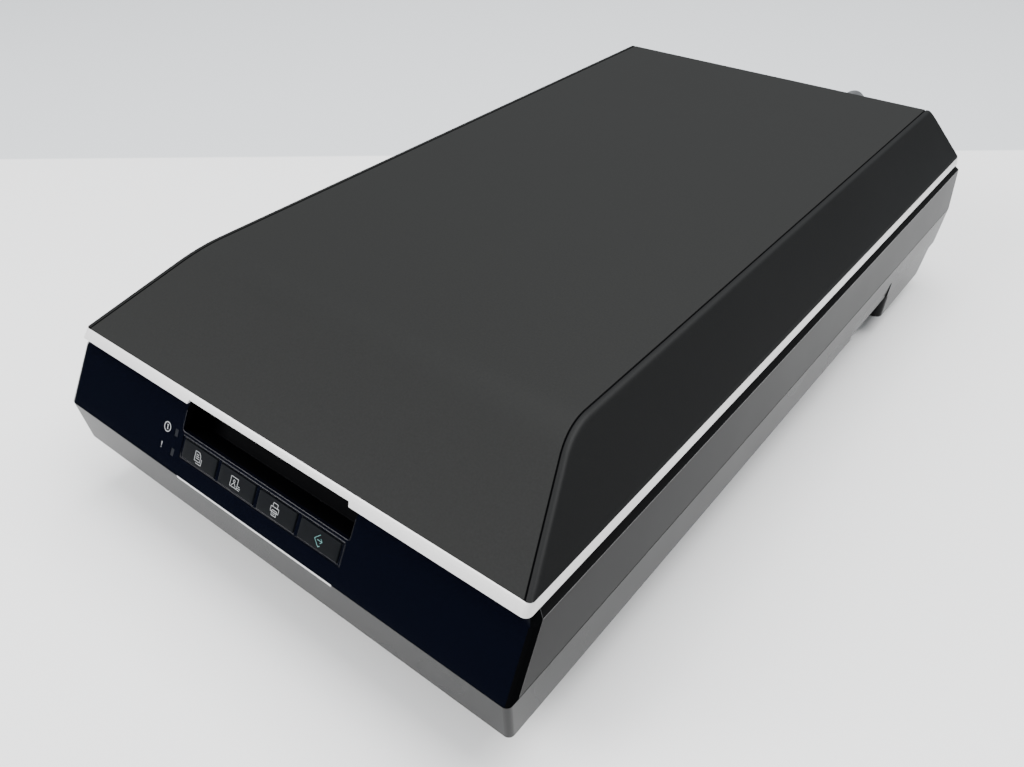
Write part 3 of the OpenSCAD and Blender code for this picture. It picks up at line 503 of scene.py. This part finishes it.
# %% The panel's own frame
rim_front, rim_z, seam_z, half_d = 227.0, 80.7, 53.3, 242.5
panel_tilt = math.atan((half_d - rim_front) / (rim_z - seam_z))
panel_in = np.array([0, math.cos(panel_tilt), -math.sin(panel_tilt)])
panel_up = np.array([0, math.sin(panel_tilt), math.cos(panel_tilt)])


def on_panel(along, down, depth):
    """Place on the panel: along it, down it from its top edge, and into it."""
    along, down, depth = np.broadcast_arrays(along, down, depth)
    start = np.array([0, -rim_front, rim_z])
    return (start + np.stack([along, 0 * along, 0 * along], -1)
            + depth[..., None] * panel_in - down[..., None] * panel_up)


button_mid, button_pitch, button_down = -0.8, 26.0, 17.4
print("the panel leans back", round(math.degrees(panel_tilt), 1), "degrees")

# %% [markdown]
# ## Housings with soft edges
# A moulded housing has no knife edges: each one has a small round that catches a thin line of light. The
# housings carry many holes and ledges that the construction already holds, so they are not drawn again.
# A copy of each gets a bevel on its sharp edges, wide outside and narrow round the small openings. The upper
# housing's rounds also get a lighter, glossier black, a painted highlight.

# %% Housings
def near_openings(middle):
    """True for edges of the recess, the button row and the light windows, away from the panel's rim."""
    start = np.array([0, -rim_front, rim_z])
    down = -(middle - start) @ panel_up
    return (np.abs(middle[:, 0]) < 70) & (down > 2.0) & (down < 29.5)


def inside_base(middle):
    """True for edges that lie well inside the base's outer walls."""
    return (np.abs(middle[:, 0]) < 132) & (np.abs(middle[:, 1]) < 218)


def inside_or_seam(middle):
    """True for the edges inside the base, and for the upper housing's lower edge, which stays crisp."""
    return inside_base(middle) | (middle[:, 2] < seam_z + 2)


soft = {"front_panel": rounded_copy("front_panel", 0.7, near_openings, 0.25),
        "upper_housing": rounded_copy("upper_housing", 0.5, inside_or_seam, 0.05),
        "lower_housing": rounded_copy("lower_housing", 0.7, inside_base),
        "cable_boot": cable_boot, "cable_plug": cable_plug}
for node, width in (("recess_liner", 0.3), ("button_bezel", 0.25), ("power_button", 0.4),
                    ("rubber_feet", 0.5), ("transport_lock", 0.3), ("hinge_posts", 0.5),
                    ("hinge_brackets", 0.5)):
    soft[node] = rounded_copy(node, width)
print("soft edges on", len(soft), "parts")

# %% [markdown]
# ## Lips on the panel
# A narrow raised lip runs above the button row and down its right end, and another follows the lower edge
# of the finger recess. Each is a half-round bead carried along a path on the panel. They catch the
# ceiling's light as thin lines.

# %% Lips
# how deep a lip's foot reaches into the panel
lip_root = 0.4


def bead(name, path, half_w, rise):
    """A half-round section along a path on the panel: across by the cosine, proud by the sine."""
    step = np.gradient(path, axis=0)
    step /= np.linalg.norm(step, axis=1, keepdims=True)
    side = np.stack([-step[:, 1], step[:, 0]], 1)
    a = np.linspace(0, np.pi, 9)
    across, proud = half_w * np.cos(a), -rise * np.sin(a)
    across, proud = np.append(across, [-half_w, half_w]), np.append(proud, [lip_root, lip_root])
    places = path[:, None] + across[None, :, None] * side[:, None]
    grid = on_panel(places[..., 0], places[..., 1], np.broadcast_to(proud, places.shape[:2]))
    piece = mesh_piece(name, grid.reshape(-1, 3), capped(*grid.shape[:2]))
    outwards(piece)
    piece.data.shade_smooth()
    piece.data.set_sharp_from_angle(angle=math.radians(50))
    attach(piece, "base")
    return piece


recess_left, recess_right, recess_down, recess_corner = -54.8, 53.2, 10.4, 1.6
quarter = np.linspace(0, np.pi / 2, 7)
left_turn = [recess_left + recess_corner * (1 - np.cos(quarter)),
             recess_down - recess_corner * (1 - np.sin(quarter))]
recess_path = np.concatenate([[[recess_left, 0.6]], np.stack(left_turn, 1),
                              np.stack([recess_left + recess_right - left_turn[0],
                                        left_turn[1]], 1)[::-1], [[recess_right, 0.6]]])
print("the recess lip has", len(recess_path), "places")

# %% [markdown]
# ## The buttons
# Four flat caps with rounded edges. A cap is a stack of rounded rectangles: wide at its foot, drawn in at
# its edge, and closed by a last small ring, so its face is very slightly crowned.

# %% Button caps
button_w, button_h = 23.4, 8.6


def rounded_rect(half_w, half_h, radius, corner=6):
    """Points of a rounded rectangle round the origin, anticlockwise."""
    a = np.linspace(0, np.pi / 2, corner)
    quarter = np.stack([np.cos(a), np.sin(a)], 1) * radius
    turns = [(1, 1, 0), (-1, 1, 1), (-1, -1, 2), (1, -1, 3)]
    out = []
    for sx, sy, k in turns:
        c, s = math.cos(k * math.pi / 2), math.sin(k * math.pi / 2)
        turned = quarter @ np.array([[c, s], [-s, c]])
        out.append(turned + [sx * (half_w - radius), sy * (half_h - radius)])
    return np.concatenate(out)


def rounded_block(name, x, down, half_w, half_h, radius, levels):
    """A stack of rounded rectangles; each level is (drawn in, depth), and both ends are closed."""
    rings = []
    for inset, depth in levels:
        ring = rounded_rect(half_w - inset, half_h - inset, max(radius - inset, 0.15))
        rings.append(on_panel(x + ring[:, 0], down - ring[:, 1], np.full(len(ring), depth)))
    grid = np.stack(rings)
    piece = mesh_piece(name, grid.reshape(-1, 3), capped(*grid.shape[:2]))
    outwards(piece)
    piece.data.shade_smooth()
    piece.data.set_sharp_from_angle(angle=math.radians(40))
    return piece


print("a cap's ring has", len(rounded_rect(button_w / 2, button_h / 2, 0.5)), "points")

# %% The lips and the caps in their places
row_half_w, row_half_h = 52.5, 5.6
row_turn = rounded_rect(row_half_w, row_half_h, 0.8)[:6]
row_edge = np.concatenate([[[row_half_w, -row_half_h + 0.3]], row_turn, [[-row_half_w + 0.5, row_half_h]]])
row_path = np.stack([button_mid + row_edge[:, 0], button_down - row_edge[:, 1]], 1)
lips = [bead("button_row_lip", row_path, 0.26, 0.3), bead("recess_lip", recess_path, 0.2, 0.1)]
cap_levels = [(0.0, 4.6), (0.0, 0.0), (0.06, -0.18), (0.22, -0.3), (0.5, -0.34), (3.2, -0.35)]
caps = []
for i, name in enumerate(("file_button", "photo_button", "copy_button", "start_button")):
    x = button_mid + (i - 1.5) * button_pitch
    cap = rounded_block("cap_" + name, x, button_down, button_w / 2, button_h / 2, 0.5, cap_levels)
    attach(cap, name)
    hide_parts(name)
    caps.append(cap)
print(len(caps), "button caps of", button_w, "by", button_h, "mm")

# %% [markdown]
# ## Printed signs
# The signs are thin light strokes. Each is a list of lines in millimetres round the middle of its place,
# with x along and y up the panel. A stroke is a flat ribbon that lies a hair above what it is printed on.
# An image could carry such signs too, but strokes stay sharp at any distance and are real geometry.

# %% Lines and strokes
def arc_points(cx, cy, radius, start, end, count=24):
    """Points along an arc, with its angles in degrees."""
    a = np.radians(np.linspace(start, end, count))
    return np.stack([cx + radius * np.cos(a), cy + radius * np.sin(a)], 1)


def ribbon(line, width):
    """The two edges of a flat stroke: each point moves half the width to both sides."""
    line = np.asarray(line, float)
    step = np.gradient(line, axis=0)
    step /= np.maximum(np.linalg.norm(step, axis=1, keepdims=True), 1e-9)
    side = np.stack([-step[:, 1], step[:, 0]], 1) * width / 2
    return line + side, line - side


def dense(line):
    """The line with extra points close to its corners, so that the corners stay crisp."""
    line = np.asarray(line, float)
    out = [line[0]]
    for a, b in zip(line[:-1], line[1:]):
        out += [a + (b - a) * 0.02, a + (b - a) * 0.98, b]
    return np.array(out)


def box_line(x0, y0, x1, y1):
    """A closed rectangle."""
    return dense([(x0, y0), (x1, y0), (x1, y1), (x0, y1), (x0, y0)])


print("a rectangle's stroke has", len(box_line(0, 0, 1, 1)), "points")

# %% [markdown]
# One sign is one thin mesh. Each of its strokes is a flat bar: two edges at the front, the same two a layer
# of ink deeper, and four strips of faces between them, closed at both ends.

# %% A sign from its strokes
ink = 0.04


def sign(name, x, down, lines, width, depth, body, material_slot):
    """All strokes of one sign as one thin mesh, with a front and a back one layer of ink apart."""
    points, faces, start = [], [], 0
    for line in lines:
        left, right = ribbon(line, width)
        count = len(left)
        for level in (depth - ink, depth):
            points.append(on_panel(x + left[:, 0], down - left[:, 1], level))
            points.append(on_panel(x + right[:, 0], down - right[:, 1], level))
        loop = np.arange(count - 1)
        a, b, c, d = (start + k * count + loop for k in range(4))
        faces += np.stack([a, a + 1, b + 1, b], 1).tolist()
        faces += np.stack([c, d, d + 1, c + 1], 1).tolist()
        faces += np.stack([a, c, c + 1, a + 1], 1).tolist()
        faces += np.stack([b, b + 1, d + 1, d], 1).tolist()
        for e in (0, count - 1):
            faces.append([start + e, start + count + e, start + 3 * count + e, start + 2 * count + e])
        start += 4 * count
    piece = mesh_piece(name, np.concatenate(points), faces)
    outwards(piece)
    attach(piece, body)
    return piece


print("the ink is", ink, "mm thick")

# %% [markdown]
# The signs themselves are short lists of lines: the buttons carry a sheet, a picture, a printer and a start
# mark, and the two lights have a power mark and a plain stroke with a dot beside them.

# %% The six signs
sheet_sign = [dense([(-2.2, 3.0), (0.4, 3.0), (1.6, 1.8), (1.6, -1.4), (-2.2, -1.4), (-2.2, 3.0)]),
              dense([(-1.4, 1.7), (0.4, 1.7)]), dense([(-1.4, 0.8), (0.8, 0.8)]),
              dense([(-1.4, -0.1), (0.8, -0.1)]), dense([(-1.0, -2.4), (2.6, -2.4), (2.6, 0.6)])]
picture_sign = [box_line(-2.9, -2.1, 1.7, 2.4), arc_points(-0.6, 0.7, 0.55, 0, 360),
                dense([(-2.0, -1.6), (-0.9, -0.3), (-0.3, -0.3), (0.8, -1.6)]),
                dense([(2.2, -0.6), (3.4, -0.6)]), dense([(2.2, -1.4), (3.8, -1.4)]),
                dense([(2.2, -2.2), (3.4, -2.2)])]
printer_sign = [box_line(-2.4, -1.0, 2.4, 1.2), dense([(-1.4, 1.2), (-1.4, 3.0), (1.4, 3.0), (1.4, 1.2)]),
                dense([(-1.4, -0.2), (-1.4, -2.6), (1.4, -2.6), (1.4, -0.2), (-1.4, -0.2)]),
                dense([(-0.7, -1.1), (0.7, -1.1)]), dense([(-0.7, -1.8), (0.7, -1.8)])]
start_sign = [dense([(0.4, 3.0), (-2.4, 0.4), (0.4, -2.4), (1.2, -1.6)]), dense([(-0.9, 0.4), (2.0, 0.4)]),
              dense([(1.0, 1.4), (2.0, 0.4), (1.0, -0.6)])]
power_sign = [arc_points(0, 0, 2.2, 0, 360, 40), dense([(-0.5, 0.9), (0.3, 0.9), (0.0, -0.9), (0.7, -0.9)])]
alert_sign = [dense([(0, 1.5), (0, -0.3)]), dense([(0, -0.9), (0, -1.3)])]

# each sign's name, its place along and down the panel, and its lines
on_buttons = [("file_button", -40.5, 17.9, sheet_sign), ("photo_button", -14.6, 17.6, picture_sign),
              ("copy_button", 11.4, 17.6, printer_sign), ("start_button", 38.4, 17.9, start_sign)]
by_lights = [("power", -65.1, 13.0, power_sign), ("alert", -66.5, 22.4, alert_sign)]
signs = [sign("sign_" + name, x, down, lines, 0.22, -0.37, name, "button_grey")
         for name, x, down, lines in on_buttons]
signs += [sign("sign_" + name, x, down, lines, 0.36, -0.1, "base", "gloss_black")
          for name, x, down, lines in by_lights]
print(len(signs), "signs")

# %% [markdown]
# ## The floor and the light
# The photograph was taken on a white table in soft light from above. The gloss plastic mirrors the table,
# so the table has to be there: the sides turn grey from it, and the front panel, which mirrors the room
# beyond the table's edge, stays black. So the floor ends not far in front of the scanner.

# %% Floor
def floor_material():
    """Pale paint; beyond the table's far edge, a line square to the view, it is a little greyer."""
    material = bpy.data.materials.new("floor_paint")
    material.use_nodes = True
    tree = material.node_tree
    shader = tree.nodes["Principled BSDF"]
    shader.inputs["Roughness"].default_value = 0.5
    place = tree.nodes.new("ShaderNodeTexCoord")
    split = tree.nodes.new("ShaderNodeVectorMath")
    split.operation = "DOT_PRODUCT"
    split.inputs[1].default_value = (-0.6244, 0.7811, 0.0)
    tree.links.new(place.outputs["Object"], split.inputs[0])
    edge = tree.nodes.new("ShaderNodeMapRange")
    far_edge = 0.3182
    edge.inputs["From Min"].default_value = far_edge
    edge.inputs["From Max"].default_value = far_edge + 0.003
    tree.links.new(split.outputs["Value"], edge.inputs["Value"])
    mix = tree.nodes.new("ShaderNodeMix")
    mix.data_type = "RGBA"
    mix.inputs["A"].default_value = (0.86, 0.855, 0.85, 1)
    mix.inputs["B"].default_value = (0.62, 0.635, 0.65, 1)
    tree.links.new(edge.outputs["Result"], mix.inputs["Factor"])
    tree.links.new(mix.outputs["Result"], shader.inputs["Base Color"])
    return material


def flat_plane(name, x0, x1, y0, y1, z):
    """Four corners and one face."""
    return mesh_piece(name, [(x0, y0, z), (x1, y0, z), (x1, y1, z), (x0, y1, z)], [(0, 1, 2, 3)])


floor = flat_plane("floor", -2600, 1900, -760, 2600, -0.05)
floor.data.materials.append(floor_material())
print("floor 4.5 m wide")

# %% [markdown]
# Soft light comes from large lamps. One hangs over the scanner like a ceiling, a smaller one stands in front
# on the left, and the room round them is bright overhead and almost dark at the level of the table. That
# dark part is what the gloss front mirrors, so it keeps the panel black.

# %% Lights
def area_light(name, place, target, size, power, color=(1, 1, 1)):
    """A square soft light at a place, turned towards a target."""
    data = bpy.data.lights.new(name, "AREA")
    data.shape = "RECTANGLE"
    data.size, data.size_y = size
    data.energy = power
    data.color = color
    light = bpy.data.objects.new(name, data)
    bpy.context.scene.collection.objects.link(light)
    back = np.subtract(place, target)
    back = back / np.linalg.norm(back)
    side = np.cross([0.0, 1.0, 0.001], back)
    side /= np.linalg.norm(side)
    up = np.cross(back, side)
    m = np.eye(4)
    m[:3, 0], m[:3, 1], m[:3, 2], m[:3, 3] = side, up, back, place
    light.matrix_world = Matrix(m.tolist())
    return light


def room_light(strength, low, high, floor_level):
    """The room: dark below the elevation whose sine is low, and full above the one whose sine is high."""
    room = bpy.data.worlds.new("room")
    room.use_nodes = True
    tree = room.node_tree
    shade = tree.nodes["Background"]
    shade.inputs["Color"].default_value = (0.93, 0.965, 1.0, 1)
    direction = tree.nodes.new("ShaderNodeTexCoord")
    parts = tree.nodes.new("ShaderNodeSeparateXYZ")
    rise = tree.nodes.new("ShaderNodeMapRange")
    rise.interpolation_type = "SMOOTHSTEP"
    rise.inputs["From Min"].default_value = low
    rise.inputs["From Max"].default_value = high
    rise.inputs["To Min"].default_value = floor_level * strength
    rise.inputs["To Max"].default_value = strength
    tree.links.new(direction.outputs["Generated"], parts.inputs["Vector"])
    tree.links.new(parts.outputs["Z"], rise.inputs["Value"])
    tree.links.new(rise.outputs["Result"], shade.inputs["Strength"])
    return room


area_light("ceiling_light", (0.30, 0.35, 1.7), (0, 0, 0), (1.8, 1.4), 60)
area_light("front_light", (-0.9, -1.5, 1.15), (0, 0, 0), (1.3, 0.8), 50)
bpy.context.scene.world = room_light(1.3, 0.12, 0.75, 0.03)
print("two soft lights and a dim room")

# %% [markdown]
# ## Finishes
# Moulded plastic is a dark colour under a clear skin. What tells gloss from matte is roughness, and what
# tells a moulded part from a flat colour is its fine grain: a noise that tips the surface a little and
# changes its roughness and tone. One function makes them all, from a few numbers.

# %% One function for plastics
def moulded(name, color, roughness, grain_mm=0.35, grain_depth=0.02, mottling=0.15, metallic=0.0,
            specular=0.5, coat=0.0, smudge=0.03):
    """Plastic: base tone mottled by noise, roughness varied by broad noise, fine grain as bump."""
    material = bpy.data.materials.new(name)
    material.use_nodes = True
    tree = material.node_tree
    shader = tree.nodes["Principled BSDF"]
    shader.inputs["Metallic"].default_value = metallic
    shader.inputs["Specular IOR Level"].default_value = specular
    shader.inputs["Coat Weight"].default_value = coat
    shader.inputs["Coat Roughness"].default_value = 0.05
    place = tree.nodes.new("ShaderNodeTexCoord")

    def noise(scale, detail):
        node = tree.nodes.new("ShaderNodeTexNoise")
        node.inputs["Scale"].default_value = scale
        node.inputs["Detail"].default_value = detail
        tree.links.new(place.outputs["Object"], node.inputs["Vector"])
        return node

    fine = noise(1000 / grain_mm / 2, 2)
    broad = noise(9, 3)
    tone = tree.nodes.new("ShaderNodeMix")
    tone.data_type = "RGBA"
    tone.inputs["A"].default_value = (*[c * (1 - mottling) for c in color], 1)
    tone.inputs["B"].default_value = (*[c * (1 + mottling) for c in color], 1)
    tree.links.new(fine.outputs["Fac"], tone.inputs["Factor"])
    tree.links.new(tone.outputs["Result"], shader.inputs["Base Color"])
    rough = tree.nodes.new("ShaderNodeMapRange")
    rough.inputs["From Min"].default_value = 0.3
    rough.inputs["From Max"].default_value = 0.7
    rough.inputs["To Min"].default_value = max(roughness - smudge, 0.02)
    rough.inputs["To Max"].default_value = roughness + smudge
    tree.links.new(broad.outputs["Fac"], rough.inputs["Value"])
    tree.links.new(rough.outputs["Result"], shader.inputs["Roughness"])
    bump = tree.nodes.new("ShaderNodeBump")
    bump.inputs["Strength"].default_value = 0.6
    bump.inputs["Distance"].default_value = grain_depth * MM
    tree.links.new(fine.outputs["Fac"], bump.inputs["Height"])
    tree.links.new(bump.outputs["Normal"], shader.inputs["Normal"])
    return material


finish = {
    "gloss_black": moulded("piano_black", (0.0014, 0.0019, 0.0046), 0.05, 6.0, 0.0012, 0.05,
                           specular=0.25, smudge=0.015),
    # painted shade: a copy of the piano black with no reflection, so the panel's wrap, the skirt's rounds
    # and the groove flanges stay black
    "shade_black_no_reflection": moulded("black_without_reflection_painted_shade", (0.002, 0.0021, 0.0024), 0.2, 6.0, 0.0012, 0.05,
                            specular=0.0),
    # painted highlight: a lighter, far glossier copy of the upper housing's black, put only on its rounded
    # edges so they show a bright line
    "rim_highlight_gloss": moulded("glossy_rim_painted_highlight", (0.01, 0.01, 0.0105), 0.18, 2.0, 0.0002, 0.05,
                          specular=1.0, coat=1.0),
    # painted shade: the recess liner gets a near black with almost no reflection, so the finger recess reads
    # as deep shadow
    "recess_shade_black": moulded("recess_plastic_painted_shade", (0.0012, 0.0013, 0.0016), 0.5, 0.5, 0.003, 0.1, specular=0.03),
    "upper_black": moulded("upper_side_black", (0.004, 0.004, 0.0042), 0.33, 0.5, 0.003, 0.1, specular=0.07),
    "skirt_black": moulded("skirt_side_black", (0.006, 0.006, 0.0063), 0.27, 0.5, 0.003, 0.1, specular=0.09),
    "rubber": moulded("foot_rubber", (0.02, 0.02, 0.02), 0.8, 0.6, 0.05),
    "button_grey": moulded("button_plastic", (0.0036, 0.0043, 0.0053), 0.5, 0.25, 0.012, specular=0.04),
    "light_window": moulded("smoked_window", (0.008, 0.009, 0.012), 0.3, 0.5, 0.005, specular=0.1),
    # the trim strip is real, but its light silver tone is a painted reflection of the table on a polished
    # edge
    "silver_trim": moulded("silver_painted_reflection_strip", (0.62, 0.62, 0.62), 0.3, 0.4, 0.005, metallic=0.6),
    "lid_dark": moulded("lid_fine_texture", (0.0124, 0.0126, 0.0122), 0.55, 0.45, 0.045, 0.22, specular=0.1),
    # painted shade: the side covers' base is about a third of the top's, for the darker look of their
    # leaning faces
    "lid_side": moulded("lid_side_painted_shade_texture", (0.004, 0.0042, 0.0043), 0.5, 0.45, 0.04, 0.2, specular=0.15),
    "band_silver": moulded("silver_grey_paint", (0.72, 0.71, 0.705), 0.4, 0.3, 0.02, 0.1, metallic=0.15),
    "inner_plastic": moulded("inner_black_plastic", (0.02, 0.021, 0.022), 0.5, 0.4, 0.03),
    "circuit_board": moulded("green_solder_mask", (0.012, 0.09, 0.035), 0.3, 1.0, 0.01, 0.25),
    "film_window": moulded("frosted_window", (0.82, 0.84, 0.84), 0.35, 0.5, 0.01, 0.03),
    "white_plastic": moulded("white_plastic", (0.82, 0.82, 0.80), 0.55, 0.5, 0.02, 0.04),
    "steel": moulded("ground_steel", (0.55, 0.56, 0.58), 0.28, 0.3, 0.01, 0.1, metallic=1.0),
    "brass": moulded("turned_brass", (0.6, 0.42, 0.16), 0.3, 0.3, 0.01, 0.1, metallic=1.0),
    "nylon": moulded("cream_nylon", (0.76, 0.72, 0.62), 0.45, 0.5, 0.01, 0.05),
    "mirror": moulded("front_mirror", (0.9, 0.92, 0.92), 0.05, 2.0, 0.0005, 0.02, metallic=1.0),
    "lens": moulded("lens_barrel", (0.02, 0.02, 0.024), 0.25, 0.5, 0.005),
    "belt_rubber": moulded("belt_rubber", (0.014, 0.014, 0.015), 0.7, 0.5, 0.04),
    "socket_black": moulded("socket_plastic", (0.012, 0.012, 0.013), 0.45, 0.4, 0.02),
    "cable_grey": moulded("cable_jacket", (0.075, 0.077, 0.08), 0.5, 0.5, 0.02, 0.06),
    "print_white": moulded("white_print", (0.36, 0.37, 0.38), 0.5, 0.3, 0.002, 0.05),
    "print_teal": moulded("teal_print", (0.10, 0.25, 0.24), 0.5, 0.3, 0.002, 0.05),
}
print(len(finish), "finishes")

# %% [markdown]
# The platen is clear float glass. Its see-through look comes from transmission, with the refraction of
# ordinary glass and a slightly green tint, and it is smooth enough to mirror the open lid.

# %% Glass
def clear_glass(name):
    """Thin clear glass: mostly see-through, with its gloss from the shader."""
    material = bpy.data.materials.new(name)
    material.use_nodes = True
    shader = material.node_tree.nodes["Principled BSDF"]
    shader.inputs["Base Color"].default_value = (0.93, 0.97, 0.96, 1)
    shader.inputs["Roughness"].default_value = 0.02
    shader.inputs["IOR"].default_value = 1.5
    shader.inputs["Transmission Weight"].default_value = 1.0
    return material


finish["glass"] = clear_glass("float_glass")
print("the platen's refraction is 1.5")

# %% [markdown]
# Each CAD node knows its material slot from the record, so the finishes go on in one pass. A few nodes of
# one slot look different in the photograph, and they are named here.

# %% Put the finishes on
# a face of the panel belongs to its wrap round the corner where its normal points this far to the side;
# those faces get the black without reflection, a painted shade
shade_wrap_limit = 0.35
# the recess liner's dull black is painted shade in the finger recess
special = {"upper_housing": "upper_black", "lower_housing": "skirt_black", "recess_liner": "recess_shade_black"}


def dress(obj, key):
    """Replaces all of an object's materials by one finish."""
    obj.data.materials.clear()
    obj.data.materials.append(finish[key])


for name, obj in nodes.items():
    dress(obj, special.get(name, slot_of[name]))
for name, piece in soft.items():
    dress(piece, special.get(name, slot_of[name]))
# the upper housing's rounds get a lighter, glossier black, a painted highlight line; the lower housing's
# rounds get the black without reflection, painted shade along its edges and seam
for name, edge in (("upper_housing", "rim_highlight_gloss"), ("lower_housing", "shade_black_no_reflection")):
    soft[name].data.materials.append(finish[edge])
    soft[name].modifiers["edge"].material = 1
panel_mesh = soft["front_panel"].data
panel_mesh.materials.append(finish["shade_black_no_reflection"])
facing = np.empty(3 * len(panel_mesh.polygons))
panel_mesh.polygons.foreach_get("normal", facing)
painted_shade_faces = np.abs(facing.reshape(-1, 3)[:, 0]) > shade_wrap_limit
panel_mesh.polygons.foreach_set("material_index", painted_shade_faces.astype(np.int32))
for piece in lips:
    dress(piece, "gloss_black")
dress(lid_top, "lid_dark")
# painted shade: the groove flanges get the black without reflection, so the groove between the covers stays
# dark
for piece in flanges:
    dress(piece, "shade_black_no_reflection")
# the side covers' darker finish is painted shade
for piece in (lid_left, lid_right):
    dress(piece, "lid_side")
dress(band, "band_silver")
for piece in (lamp_cable_upper, lamp_cable_lower):
    dress(piece, "cable_grey")
for piece in caps:
    dress(piece, "button_grey")
for piece in signs:
    dress(piece, "print_teal" if piece.name == "sign_start_button" else "print_white")
print("dressed", len(nodes), "nodes")
